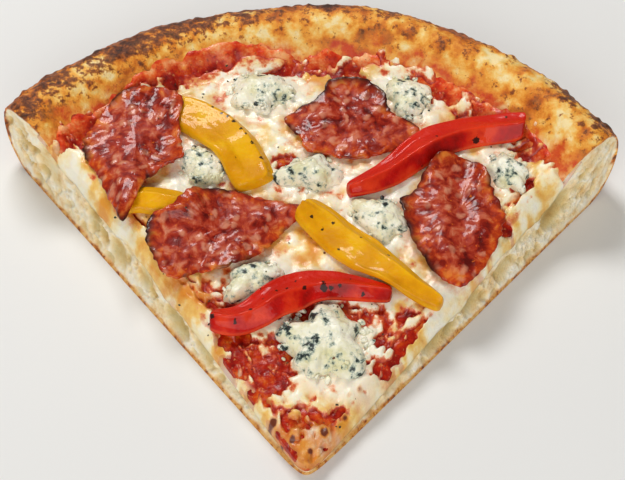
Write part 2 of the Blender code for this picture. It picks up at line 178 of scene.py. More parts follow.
def cellNoise(x, y, z, size, turn=0):
    # distances to the nearest of one random point per lattice cell and to the next, in cell sizes, and the
    # nearest point's own value
    place = [value / size + 5.3 * turn + 2.9 * k for k, value in enumerate(np.broadcast_arrays(x, y, z))]
    whole = [np.floor(value).astype(np.int64) for value in place]
    nearest, second = np.full((2, *place[0].shape), 9.0)
    owner = np.zeros(place[0].shape)
    for step in np.ndindex(3, 3, 3):
        cell = [whole[k] + step[k] - 1 for k in range(3)]
        seed = [[(cell[j] + (7 + 2 * j) * k) % 64 for j in range(3)] for k in range(3)]
        jitter = [lattice[a, b, c] for a, b, c in seed]
        away = sum((place[k] - cell[k] - jitter[k]) ** 2 for k in range(3))
        second = np.clip(away, nearest, second)
        owner = np.where(away < nearest, jitter[0], owner)
        nearest = np.minimum(nearest, away)
    return np.sqrt(nearest), owner, np.sqrt(second)


def zoneReach(x, y, zone):
    # distance from a turned ellipse's middle, 1 on its edge
    cx, cy, wide, long, turn = zone[:5]
    c, s = math.cos(math.radians(turn)), math.sin(math.radians(turn))
    return np.hypot(((x - cx) * c + (y - cy) * s) / wide, ((y - cy) * c - (x - cx) * s) / long)


class Body:
    # gathers patches of points and faces, welds the points they share, and becomes one object

    def __init__(self):
        self.points, self.faces, self.values, self.count = [], [], {}, 0

    def add(self, points, **values):
        # points of any grid shape, with values to keep at each; returns their numbers in the same shape
        number = np.arange(points[..., 0].size).reshape(points.shape[:-1]) + self.count
        self.points.append(points.reshape(-1, 3))
        for name in set(self.values) | set(values):
            given = np.broadcast_to(values.get(name, 0.0), number.shape).ravel()
            self.values.setdefault(name, [np.zeros(self.count)] if self.count else []).append(given)
        self.count += number.size
        return number

    def grid(self, number):
        # one four-sided face between each four neighbours of a grid of point numbers
        corners = (number[:-1, :-1], number[:-1, 1:], number[1:, 1:], number[1:, :-1])
        self.faces.append(np.stack(corners, -1).reshape(-1, 4))

    def zip(self, a, b, placeA, placeB):
        # triangles between two rows of points with different spacing, taken in order along them
        j = np.clip(np.searchsorted(placeB, placeA[1:], "left") - 1, 0, None)
        self.faces.append(np.stack((a[:-1], a[1:], b[j], b[j]), -1))
        i = np.clip(np.searchsorted(placeA, placeB[1:], "right") - 1, 0, None)
        self.faces.append(np.stack((b[:-1], b[1:], a[i], a[i]), -1))

    def weld(self):
        points = np.concatenate(self.points)
        faces = np.concatenate(self.faces)
        key = np.round(points * 1e4).astype(np.int64)
        _, first, inverse = np.unique(key, axis=0, return_index=True, return_inverse=True)
        points, faces = points[first], inverse.ravel()[faces]
        self.values = {name: np.concatenate(parts)[first] for name, parts in self.values.items()}
        same = faces == np.roll(faces, -1, axis=1)
        quads = faces[same.sum(1) == 0]
        bent = faces[same.sum(1) == 1]
        keep = ~(bent == np.roll(bent, -1, axis=1))
        return points, quads, bent[keep].reshape(-1, 3)


def vertexNormals(points, quads, triangles):
    # the cross products of each face's diagonals or sides, added up round each point and made one long
    normals = np.zeros_like(points)
    for faces in (quads, triangles):
        if len(faces):
            a, b, c, d = (points[faces[:, k]] for k in (0, 1, 2, -1))
            face = np.cross(c - a, d - b) if faces.shape[1] == 4 else np.cross(b - a, c - a)
            for k in range(faces.shape[1]):
                np.add.at(normals, faces[:, k], face)
    return normals / np.maximum(np.linalg.norm(normals, axis=1, keepdims=True), 1e-9)


def makePiece(name, material, slot, nodes, points, quads, triangles, values):
    # puts points in millimetres into a mesh in metres, with its values as attributes
    mesh = bpy.data.meshes.new(name)
    mesh.vertices.add(len(points))
    mesh.vertices.foreach_set("co", ((points + toFrame) * 0.001).astype(np.float32).ravel())
    corners = np.concatenate([quads.ravel(), triangles.ravel()]).astype(np.int32)
    sizes = np.concatenate([np.full(len(quads), 4), np.full(len(triangles), 3)]).astype(np.int32)
    starts = np.concatenate([[0], np.cumsum(sizes)[:-1]]).astype(np.int32)
    mesh.loops.add(len(corners))
    mesh.loops.foreach_set("vertex_index", corners)
    mesh.polygons.add(len(sizes))
    mesh.polygons.foreach_set("loop_start", starts)
    mesh.update(calc_edges=True)
    for label, value in values.items():
        mesh.attributes.new(label, "FLOAT", "POINT").data.foreach_set("value", value.astype(np.float32))
    bm = bmesh.new()
    bm.from_mesh(mesh)
    bmesh.ops.recalc_face_normals(bm, faces=bm.faces)
    bm.to_mesh(mesh)
    bm.free()
    mesh.shade_smooth()
    mesh.materials.append(material)
    piece = bpy.data.objects.new(name, mesh)
    bpy.context.scene.collection.objects.link(piece)
    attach(piece, "root")
    if nodes:
        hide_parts(*nodes)
    print(name, 2 * len(quads) + len(triangles), "triangles")
    return piece


def planPoint(r, angle):
    # plan position of a radius and angle, with the tip rounded off: y = sqrt((r cos)^2 + round^2)
    return r * np.sin(angle), np.sqrt((r * np.cos(angle)) ** 2 + wedge["tipRound"] ** 2)


def acrossPlaces(columns):
    # from one cut, -1, to the other, 1, a little closer together near the cuts
    return np.sin(np.linspace(-1, 1, columns) * np.pi / 2 * 0.9) / math.sin(np.pi / 2 * 0.9)


def addFan(body, radii, bands, spread, surface):
    # a sheet over the wedge, in bands of rows: fewer columns towards the tip, zipped where they change
    last = None
    for start, stop, columns in bands:
        place = acrossPlaces(columns)
        angle = place * halfAngle * spread
        x, y = planPoint(radii(angle)[start:stop], angle)
        z, values = surface(x, y)
        number = body.add(np.stack([x, y, z], -1), **values)
        body.grid(number)
        if last is not None:
            body.zip(last[0], number[0], last[1], place)
        last = (number[-1], place)


def alongCurve(values, place, closed=False):
    # values at whole steps along a curve, read between them by the Catmull-Rom formula
    count = len(values)
    whole = np.clip(np.floor(place).astype(int), 0, count - (1 if closed else 2))
    t = (place - whole).reshape(-1, *[1] * (values.ndim - 1))
    near = [(whole + k) % count if closed else np.clip(whole + k, 0, count - 1) for k in (-1, 0, 1, 2)]
    a, b, c, d = (values[n] for n in near)
    return 0.5 * (2 * b + (c - a) * t + (2 * a - 5 * b + 4 * c - d) * t**2 + (3 * b - a - 3 * c + d) * t**3)


def refined(values, rows, columns, closed):
    # a coarse grid of values, read between its points along both of its directions
    values = alongCurve(values, rows)
    return np.moveaxis(alongCurve(np.moveaxis(values, 1, 0), columns, closed), 0, 1)


def titleOf(name):
    # blue_cheese_left becomes blueCheeseLeft
    first, *rest = name.split("_")
    return first + "".join(word.capitalize() for word in rest)


# sauce: how far its edge lies in from the rim's outer edge, its thickness and the size of its chunks, in mm
sauce = {"rimInset": 21.5, "wander": 4.4, "spreadOut": 4.2, "thickness": 1.15, "chunk": 3.4, "chunkHeight": 0.8, "roughness": 0.5}
# cheese: the same edge, its full thickness over the sauce, and the level that its underside starts from
cheese = {"rimInset": 22.6, "wander": 5.0, "thickness": 1.9, "level": 1.5, "swell": 0.5}

# where cheese and sauce have run into each other: x, y, half width, half length, turn, share of cheese left
mixedZones = (
    (-50, 125, 30, 10, 40, 0.40), (-26, 133, 20, 7, 8, 0.42), (8, 134, 24, 7, 0, 0.42), (40, 125, 24, 9, -36, 0.36),
    (62, 107, 12, 11, -52, 0.42), (-2, 9, 12, 10, 0, 0.54), (-13, 28, 10, 11, -25, 0.34), (-28, 50, 12, 7, -25, 0.55),
    (24, 38, 6, 15, -38, 0.62), (4, 46, 22, 5, 0, 0.50), (50, 62, 4, 9, -38, 0.66), (60, 88, 6, 7, -20, 0.66),
    (-9, 95, 5, 4, 0, 0.45), (-64, 98, 6, 9, -35, 0.56), (5, 18, 8, 5, 0, 0.50), (8, 108, 34, 14, 0, 0.80),
    (-10, 70, 40, 20, 0, 0.84), (40, 80, 18, 30, -20, 0.86), (-19, 29, 6, 13, 38, 0.36), (-73, 103, 9, 8, 50, 0.24),
    (23, 30, 4, 12, -38, 0.56), (-45, 62, 3, 14, 38, 0.74), (-60, 84, 3, 12, 38, 0.72), (52, 70, 4, 16, -38, 0.62),
)
# patches of bare sauce: x, y, half width, half length, turn
barePatches = (
    (-50, 131, 5, 2.6, 25), (-60, 122, 5, 2.6, 45), (-66.5, 111, 3.5, 3.6, 70), (-70, 104, 3.5, 3, 70),
    (-77, 95, 4.5, 1.6, 50), (-38, 134, 4, 2, 0), (-25, 134, 3, 2, 0), (-44.5, 122, 1.8, 1.6, 0), (3, 137.5, 6, 2.2, 0),
    (16, 138, 5, 2, 0), (30, 135, 4, 2.4, -15), (38, 131, 4, 2.4, -30), (47, 125, 4, 2.4, -40), (56, 118, 4, 2.4, -50),
    (62, 112, 3.4, 2.4, -55), (70, 97.5, 4, 5.0, 0), (63.5, 86, 1.8, 2.4, 0), (57, 72, 2.2, 3.2, 30), (1, 130, 1.8, 1.6, 0),
    (-9, 96, 2.4, 2.0, 0), (-9, 24, 3.2, 2.8, -20), (-15, 32, 2.4, 2.2, 0), (8, 16, 2.5, 1.4, 30), (19, 29, 1.2, 2.0, 0),
    (-18, 38, 2.4, 1.4, 0), (-4, 34, 2.4, 1.6, 0),
    (28.5, 36.5, 1.3, 9, -38), (-19, 29, 1.6, 7, 38), (-26, 37, 1.2, 3, 38), (-50, 70, 1.0, 3, 38), (49, 63, 1.0, 3, -38),
)
# tongues and blobs of cheese that ran over the sauce: x, y, half width, half length, turn
cheeseRuns = (
    (9, 27, 10, 5, -20), (5, 20, 3.4, 3.4, 0), (-4, 15.5, 1.8, 1.4, 0), (-8.5, 18.5, 1.5, 1.2, 0), (1, 11, 1.8, 1.4, 0),
    (-13, 38.5, 2, 1.5, 0), (6, 62, 16, 6, 30), (62, 116, 3.4, 2.6, -40), (8, 136, 3.4, 1.6, 30), (-20, 133, 10, 3, 10),
    (-60, 108, 3, 5, -20), (20, 130, 8, 3, -8), (-30, 126, 10, 5, 20),
)


def cheeseShare(x, y):
    # 1 where cheese covers all, less in mixed zones, 0 in bare patches, then mottled at 6 mm and 2 mm
    warpX = x + 2.2 * roughNoise(x, y, 0, 6, 4, 2)
    warpY = y + 2.2 * roughNoise(x, y, 0, 6, 4, 5)
    share = np.full(np.shape(x), 0.98)
    for zone in mixedZones:
        share = share + (zone[5] - share) * smoothStep(1.35, 0.6, zoneReach(warpX, warpY, zone))
    for zone in barePatches:
        share = share * smoothStep(0.6, 1.5, zoneReach(warpX, warpY, zone)) ** 0.7
    for zone in cheeseRuns:
        share = np.maximum(share, 0.9 * smoothStep(1.3, 0.8, zoneReach(warpX, warpY, zone)))
    mixed = smoothStep(0.95, 0.55, share)
    uneven = 0.26 * roughNoise(x, y, 0, 6.5, 2, 8) + (0.24 + 0.62 * mixed) * roughNoise(x, y, 0, 2.9, 2, 9)
    share = share + uneven * (0.5 + 0.5 * mixed)
    # round nodules of curd that stayed whole in the mixed zones
    warp = 1.1 * roughNoise(x, y, 0, 2.5, 2, 17)
    nodule, owner, _ = cellNoise(x + warp, y - warp, 0, 3.3, 19)
    share = share + 0.34 * mixed * smoothStep(0.55, 0.15, nodule) * smoothStep(0.3, 0.8, owner)
    # some cheese runs along the cuts
    width = 0.4 + 2.6 * smoothStep(50, 95, np.hypot(x, y))
    band = smoothStep(1, 0.4, (cutDistance(x, y) + 3.6 * roughNoise(x, y, 0, 5, 3, 10)) / width)
    band = band * smoothStep(35, 62, np.hypot(x, y))
    return np.maximum(share, (0.56 + 0.4 * roughNoise(x, y, 0, 4, 3, 11)) * band)


def cheeseFilm(x, y):
    # thickness over the level its underside starts from: below zero where there is none, thin in mixed zones
    # and towards the rim
    share = cheeseShare(x, y)
    thin = 0.55 + 0.45 * smoothStep(0.45, 0.9, share + 0.15 * roughNoise(x, y, 0, 7, 2, 13))
    thin = thin * (0.5 + 0.5 * smoothStep(-1, 8, rimInset(x, y) - cheese["rimInset"]))
    return cheese["thickness"] * thin * smoothStep(0.22, 0.85, share) - 0.4


def sauceInset(x, y):
    # distance in from the rim's edge, measured as if the rim were narrower on the left, where sauce was spread
    # further out: a bell in angle
    return rimInset(x, y) + sauce["spreadOut"] * np.exp(-(((np.arctan2(x, y) + 0.29) / 0.15) ** 2))


def sauceTop(x, y):
    # a soft layer with chunks of tomato, which thins out along a wandering edge
    chunks, owner, _ = cellNoise(x, y, 0, sauce["chunk"], 3)
    rough = roughNoise(x, y, 0, 2.6, 4, 12)
    thick = sauce["thickness"] + sauce["chunkHeight"] * smoothStep(0.72, 0.12, chunks) * owner
    thick = thick + sauce["roughness"] * rough
    inset = sauceInset(x, y) + sauce["wander"] * roughNoise(x, y, 0, 7, 3, 14)
    there = smoothStep(sauce["rimInset"] - 1.0, sauce["rimInset"] + 4.2, inset)
    # under whole cheese it stops short of the cuts, elsewhere it was cut through with the dough
    covered = smoothStep(0.55, 0.85, cheeseShare(x, y))
    atCuts = smoothStep(0.3, 2.0, cutDistance(x, y) + 1.2 * roughNoise(x, y, 0, 5, 3, 16))
    there = there * (1 - covered * (1 - atCuts))
    return doughTop(x, y) + thick * there - 1.3 * (1 - there)


def curdling(x, y):
    # soft lumps of melted curd: smooth noise at 3.4 mm, sharpened below so that fat stands in the dips
    lumps = roughNoise(x, y, 0, 3.4, 2, 24)
    return 0.42 * np.where(lumps < 0, 1.3 * lumps, lumps) + 0.08 * roughNoise(x, y, 0, 1.4, 2, 25)


def cheeseTop(x, y):
    # the film over a level base, with slow swellings and fine wrinkles; it rolls down over the cuts
    film = cheeseFilm(x, y)
    full = smoothStep(0.1, 1.3, film)
    swell = cheese["swell"] * roughNoise(x, y, 0, 8, 2, 20) + curdling(x, y)
    bubbles, owner, _ = cellNoise(x, y, 0, 5.5, 26)
    swell = swell + 0.45 * smoothStep(0.42, 0.05, bubbles) * (owner > 0.55)
    inset = rimInset(x, y) + cheese["wander"] * roughNoise(x, y, 0, 8, 4, 28)
    there = smoothStep(cheese["rimInset"] - 1.5, cheese["rimInset"] + 2.5, inset)
    wide = 3.4 + 2.4 * roughNoise(x, y, 0, 6, 2, 29)
    roll = (1.7 + 1.6 * roughNoise(x, y, 0, 4, 2, 30)) * np.clip(1 - cutDistance(x, y) / wide, 0, 1) ** 2
    sunk = 1.1 * smoothStep(-0.02, -0.38, film)
    height = (cheese["level"] + film - sunk + swell * full) * there - 1.3 * (1 - there)
    return doughTop(x, y) + height - roll * full


def sauceFoot(x, y):
    return doughTop(x, y) - 1.7


def cheeseFoot(x, y):
    # the underside of the cheese: inside the dough, and hanging a little below its edge at the cuts
    r = np.hypot(x, y)
    lip = np.clip(1 - cutDistance(x, y) / 1.5, 0, 1) * smoothStep(25, 70, r)
    droop = 0.2 + 3.2 * roughNoise(r, 0, np.sign(x), 9, 3, 71)
    return doughTop(x, y) - 1.7 - lip * np.clip(droop, 0, None)


class Pile:
    # heights of all that has been laid, on a plan grid of cells
    cell = 0.5

    def __init__(self):
        self.x0, self.y0 = -96.0, 0.0
        self.shape = (340, 384)
        gy, gx = np.mgrid[0 : self.shape[0], 0 : self.shape[1]] * self.cell
        gx, gy = gx + self.x0, gy + self.y0
        inside = (np.abs(np.arctan2(gx, gy)) < halfAngle) & (rimInset(gx, gy) > 0)
        ground = np.maximum(np.maximum(sauceTop(gx, gy), cheeseTop(gx, gy)), doughTop(gx, gy))
        self.heights = np.where(inside, ground, 0.0)

    def lay(self, x, y, z):
        column = np.clip(np.round((x - self.x0) / self.cell).astype(int), 0, self.shape[1] - 1)
        row = np.clip(np.round((y - self.y0) / self.cell).astype(int), 0, self.shape[0] - 1)
        np.maximum.at(self.heights, (row.ravel(), column.ravel()), z.ravel())

    def under(self, x, y, reach):
        # the highest point within reach of each place
        steps = int(reach / self.cell)
        wide = self.heights.copy()
        for dx in range(-steps, steps + 1):
            for dy in range(-steps, steps + 1):
                if 0 < dx * dx + dy * dy <= steps * steps:
                    wide = np.maximum(wide, np.roll(self.heights, (dy, dx), (0, 1)))
        u = np.clip((x - self.x0) / self.cell, 0, self.shape[1] - 2)
        v = np.clip((y - self.y0) / self.cell, 0, self.shape[0] - 2)
        i, j = np.floor(v).astype(int), np.floor(u).astype(int)
        s, t = v - i, u - j
        near = wide[i, j] * (1 - t) + wide[i, j + 1] * t
        far = wide[i + 1, j] * (1 - t) + wide[i + 1, j + 1] * t
        return near * (1 - s) + far * s


pile = Pile()
print("pile ready")

# dough: how finely it is divided, and how uneven its cut faces and its crust are, in mm
dough = {
    "rimColumns": 360,
    "innerColumns": 26,
    "innerRows": 280,
    "levels": 68,  # rows of points up each cut face
    "pits": 60,
    "cell": 4.0,  # size of the larger bubbles in the crumb
    "undulation": 0.5,
    "crustSwell": 0.75,
    "blister": 0.65,
    "crustThickness": 0.9,
}
crownTurn = np.linspace(0, np.pi / 2, 38)
rimInsets = np.concatenate([
    wedge["crownInset"] * (1 - np.cos(crownTurn)),
    np.linspace(wedge["crownInset"], 33.0, 42)[1:],
])
# the widest bubbles the cuts opened: place along the cut, share of the height, half length, half height, depth
wideBubbles = {
    -1: (
        (24, 0.50, 3.0, 1.6, 0.9), (33, 0.45, 3.4, 2.0, 1.3), (47, 0.50, 5.0, 3.2, 2.2), (60, 0.42, 6.5, 3.6, 2.6),
        (76, 0.55, 4.2, 4.0, 2.0), (90, 0.45, 5.0, 5.2, 2.2), (104, 0.55, 4.0, 4.4, 1.8), (126, 0.55, 5.5, 6.0, 1.4),
    ),
    1: (
        (26, 0.50, 3.0, 1.6, 1.0), (38, 0.50, 4.2, 2.2, 1.8), (56, 0.45, 7.0, 3.6, 2.6), (72, 0.50, 5.0, 4.4, 2.4),
        (87, 0.42, 4.2, 4.0, 1.8), (112, 0.55, 7.0, 5.6, 3.0), (130, 0.5, 3.0, 4.0, 1.2),
    ),
}
# where the rim has charred: x, y, reach and strength
charPlaces = (
    (-84, 103, 9, 0.7), (-76, 113, 10, 0.7), (-66, 123, 10, 0.75), (-56, 132, 10, 0.8), (-46, 139, 9, 0.75),
    (-36, 145, 8, 0.75), (-25, 153, 9, 0.95), (-12, 158, 6, 0.6), (2, 156, 8, 1.0), (12, 158, 5, 0.6), (22, 154, 8, 1.0),
    (34, 152, 6, 0.8), (42, 149, 5, 0.6), (77, 116, 6, 1.15), (72, 121, 4, 0.9), (84, 106, 5, 1.1), (62, 133, 6, 0.55),
    (80, 100, 4, 0.5), (50, 142, 6, 0.5),
)


def doughRadii(angle):
    # rows across the rim at chosen insets, then rows that shrink in to the tip
    rim = edgeRadius(angle)[None] - rimInsets[:, None]
    share = np.linspace(1, 0, dough["innerRows"] + 1)[1:, None]
    return np.concatenate([rim, rim[-1:] * share])


def crumbPits(along, up, thickness, side):
    # bubbles opened by a cut: each an ellipsoid bite, the deepest one at any point counting, their outlines
    # pushed about by noise
    along = along + 1.3 * roughNoise(along, up, side, 3.5, 3, 37)
    up = up + 1.0 * roughNoise(along, up, side, 3.5, 3, 39)
    # a foam of cells in two sizes, each as deep as its own value says, thin walls where two are equally near
    depth = np.zeros(along.shape)
    for size, turn, low in ((dough["cell"], 61, 0.35), (dough["cell"] * 0.45, 63, 0.3)):
        near, owner, second = cellNoise(along / 1.25, up * 1.05, 40 * side, size, turn)
        gap = np.clip((second - near - 0.06) / 0.55, 0, 1)
        bite = 0.46 * size * smoothStep(low, 1.0, owner)
        depth = np.maximum(depth, bite * np.sqrt(1 - (1 - gap) ** 2))
    for place, share, halfLength, halfHeight, bite in wideBubbles[side]:
        away = np.hypot((along - place) / halfLength, (up - share * thickness) / halfHeight)
        depth = np.maximum(depth, 0.7 * bite * np.sqrt(np.clip(1 - away**2, 0, None)))
    for _ in range(dough["pits"]):
        place, share = rng.uniform(6, 150), rng.uniform(0.05, 0.95)
        size = 0.6 + 1.7 * rng.random() ** 1.6
        stretch, turn = rng.uniform(1.0, 2.2), rng.normal(0, 0.5)
        bite = size * rng.uniform(0.7, 1.1)
        rows = np.abs(along[:, 0] - place) < size * stretch + 2.5
        a, u = along[rows] - place, up[rows] - share * thickness[rows]
        c, s = math.cos(turn), math.sin(turn)
        away = np.hypot((a * c + u * s) / (size * stretch), (u * c - a * s) / size)
        depth[rows] = np.maximum(depth[rows], bite * np.sqrt(np.clip(1 - away**2, 0, None)))
    return depth


def addCutFace(body, side):
    # one cut face: from the bottom edge up to the top edge, pushed in by bubbles and a slow undulation
    angle = np.array([side * halfAngle])
    x, y = planPoint(doughRadii(angle), angle)
    low = doughBottom(x, y)
    thickness = doughTop(x, y) - low
    share = np.linspace(0, 1, dough["levels"] + 1)[None]
    up = share * thickness
    along = np.hypot(x, y) + 0 * up
    inset = rimInset(x, y) + 0 * up
    depth = crumbPits(along, up, thickness, side)
    # the bubbles' depth, kept so that the material can paint shade into the hollows
    pit = depth.copy()
    depth = depth + dough["undulation"] * (1 + roughNoise(along, up, side, 6, 4, 31))
    depth = depth + 0.18 * (1 + roughNoise(along, up, side, 1.1, 3, 33))
    # distance from the skin: the underside, the rim's outer edge, and the rim's top but not the topped part
    topped = smoothStep(22, 26, inset)
    skin = np.minimum(up, np.minimum(inset, thickness - up + 9 * topped))
    shut = np.sin(np.pi * share) ** 0.35 * (1 - 0.55 * share**3) * smoothStep(0.1, 1.6, skin) * smoothStep(0, 8, along)
    depth = depth * shut
    thick = dough["crustThickness"] * (1 + 0.6 * roughNoise(along, up, side, 4, 3, 35))
    crust = smoothStep(thick + 0.45, thick - 0.25, skin)
    points = np.stack([
        x - side * math.cos(halfAngle) * depth, y + math.sin(halfAngle) * depth, low + up,
    ], -1)
    under = smoothStep(2.2, 0.8, up) * crust
    body.grid(body.add(points, crust=crust, pit=pit * shut, cut=1.0, under=under))


def makeDough(material):
    body = Body()
    rimRows, allRows = len(rimInsets), len(rimInsets) + dough["innerRows"]
    underRows = int(np.searchsorted(rimInsets, wedge["undercut"] + 1.0))
    top = [(0, rimRows, dough["rimColumns"]), (rimRows, allRows, dough["innerColumns"])]
    bottom = [(0, underRows, dough["rimColumns"]), (underRows, allRows, 9)]
    addFan(body, doughRadii, top, 1, lambda x, y: (doughTop(x, y), {"crust": 1.0}))
    addFan(body, doughRadii, bottom, 1, lambda x, y: (doughBottom(x, y), {"crust": 1.0, "under": 1.0}))
    for side in (-1, 1):
        addCutFace(body, side)
    points, quads, triangles = body.weld()
    values = body.values
    x, y, z = points.T
    inset, angle = rimInset(x, y), np.arctan2(x, y)
    # the way out of the rim at each point: outwards and up from a line inside it
    heart = edgeRadius(angle) - 14
    away = 1 - heart / np.maximum(np.hypot(x, y), 1)
    out = np.stack([x * away, y * away, z - 11], -1)
    out = out / np.maximum(np.linalg.norm(out, axis=1, keepdims=True), 1e-6)
    # relief of the crust: swellings, then blisters on the outer shoulder
    bumpDistance, bumpOwner, _ = cellNoise(x, y, z, 4.4, 41)
    smallDistance, smallOwner, _ = cellNoise(x, y, z, 2.1, 45)
    shoulder = smoothStep(27, 15, inset) * smoothStep(1.5, 8, z)
    blister = smoothStep(0.60, 0.05, bumpDistance) * (bumpOwner > 0.35)
    blister = blister + 0.45 * smoothStep(0.6, 0.1, smallDistance) * (smallOwner > 0.5)
    lift = dough["blister"] * blister + dough["crustSwell"] * (roughNoise(x, y, z, 12, 3, 43) - 0.25)
    lift = (np.maximum(lift, -0.35) + 0.16 * roughNoise(x, y, z, 1.8, 3, 47)) * shoulder
    lift = lift * (1 - values["cut"]) * smoothStep(0.0, 3.0, z)
    top = cadBox[1][2] * 1000 + 0.55
    lift = np.minimum(lift, np.clip(top - z, -1, None) / np.maximum(out[:, 2], 0.3))
    points = points + out * lift[:, None]
    outer = smoothStep(17, 3, inset)
    left = smoothStep(0.2, -0.45, angle)
    bake = 0.28 + 0.20 * left * (0.3 + 0.7 * outer) + 0.22 * outer + 0.34 * roughNoise(x, y, z, 10, 3, 51)
    bake = bake + 0.06 * smoothStep(14, 5, z) * smoothStep(20, 6, inset) - 0.12 * smoothStep(0.1, 0.5, angle)
    char = np.zeros(len(points))
    for cx, cy, reach, strength in charPlaces:
        char = np.maximum(char, strength * np.exp(-(((x - cx) ** 2 + (y - cy) ** 2) / reach**2)))
    values["bake"] = bake
    values["blister"] = blister * shoulder
    values["char"] = char * smoothStep(22, 13, inset) * smoothStep(8, 15, z)
    foot = inset + 4.5 * roughNoise(x, y, z, 6, 4, 57)
    values["stain"] = smoothStep(17.0, 23, foot) * (1 - values["cut"])
    return makePiece("crumbAndCrust", material, "dough", ["dough"], leaned(points), quads, triangles, values)


def layerRadii(rimInsetOf, rows):
    # rows that follow the rim's outer edge at a fixed distance, shrunk in to the tip
    def radii(angle):
        return (edgeRadius(angle) - rimInsetOf)[None] * np.linspace(1, 0, rows + 1)[:, None]

    return radii


def makeLayer(name, material, slot, edge, rows, columns, spread, surface, foot, overhang, valuesOf):
    # a closed layer: a fine top, sides that bulge over the cuts by sin(pi v), and a plain underside
    body = Body()
    radii = layerRadii(edge, rows)
    half, quarter, eighth = rows // 2, rows * 3 // 4, rows * 7 // 8
    bands = [(0, half, columns), (half, quarter, columns // 2), (quarter, eighth, columns // 4)]
    bands.append((eighth, rows + 1, columns // 8))
    addFan(body, radii, bands, spread, lambda x, y: (surface(x, y), {}))
    addFan(body, radii, [(0, 1, columns), (1, 60, 80), (60, rows + 1, 14)], spread, lambda x, y: (foot(x, y), {}))
    for side in (-1, 1):
        angle = np.array([side * halfAngle * spread])
        x, y = planPoint(radii(angle), angle)
        high, low = surface(x, y), foot(x, y)
        v = np.linspace(0, 1, 9)[None]
        z = high + (low - high) * v
        out = overhang * (1 + roughNoise(np.hypot(x, y), z, side, 4, 3, 73))
        out = out * np.sin(np.pi * v) * smoothStep(0, 6, np.hypot(x, y))
        points = [x + side * out * math.cos(halfAngle), y - out * math.sin(halfAngle), z]
        body.grid(body.add(np.stack(points, -1)))
    place = acrossPlaces(columns)
    x, y = planPoint(radii(place * halfAngle * spread)[0], place * halfAngle * spread)
    body.grid(body.add(np.stack([np.stack([x, y, level(x, y)], -1) for level in (surface, foot)])))
    points, quads, triangles = body.weld()
    return makePiece(name, material, slot, [slot], leaned(points), quads, triangles, valuesOf(points))

# lumps of blue cheese: middle, half width, half length, turn in degrees, height
bluePlaces = {
    "blue_cheese_back_left": ((-17.5, 121.0), 9.0, 7.6, 0, 4.2),
    "blue_cheese_back_right": ((27.0, 120.0), 6.8, 7.6, 25, 3.8),
    "blue_cheese_left": ((-32.5, 92.5), 6.8, 6.4, -20, 3.4),
    "blue_cheese_middle": ((18.0, 75.5), 8.4, 6.0, -35, 3.8),
    "blue_cheese_right": ((55.5, 91.0), 4.8, 6.8, 30, 3.4),
    "blue_cheese_front_left": ((-16.0, 54.0), 8.0, 5.6, 30, 3.6),
    "blue_cheese_front": ((4.0, 37.0), 11.0, 10.6, 0, 4.8),
    "blue_cheese_centre": ((-2.0, 90.5), 9.4, 5.6, 10, 4.2),
}
crumble = {"rows": 110, "sides": 210, "lump": 0.8, "curd": 0.6, "grain": 0.30, "ragged": 0.36}


def restingHeights(cx, cy, halfWidth, halfLength, c, s):
    # the pile's heights on a few rings under a lump, evened out, from its middle to its edge
    out, turn = np.linspace(0, 1, 7)[:, None], np.linspace(0, 2 * np.pi, 25)[None]
    x = cx + out * (halfWidth * np.cos(turn) * c - halfLength * np.sin(turn) * s)
    y = cy + out * (halfWidth * np.cos(turn) * s + halfLength * np.sin(turn) * c)
    rest = pile.under(x, y, 0.8)
    for _ in range(3):
        rest[1:-1] = (rest[:-2] + rest[1:-1] + rest[2:]) / 3
        rest[:, 1:-1] = (rest[:, :-2] + rest[:, 1:-1] + rest[:, 2:]) / 3
        rest[:, 0] = rest[:, -1] = (rest[:, 1] + rest[:, -2]) / 2
    rest[0] = rest[0].mean()
    return rest


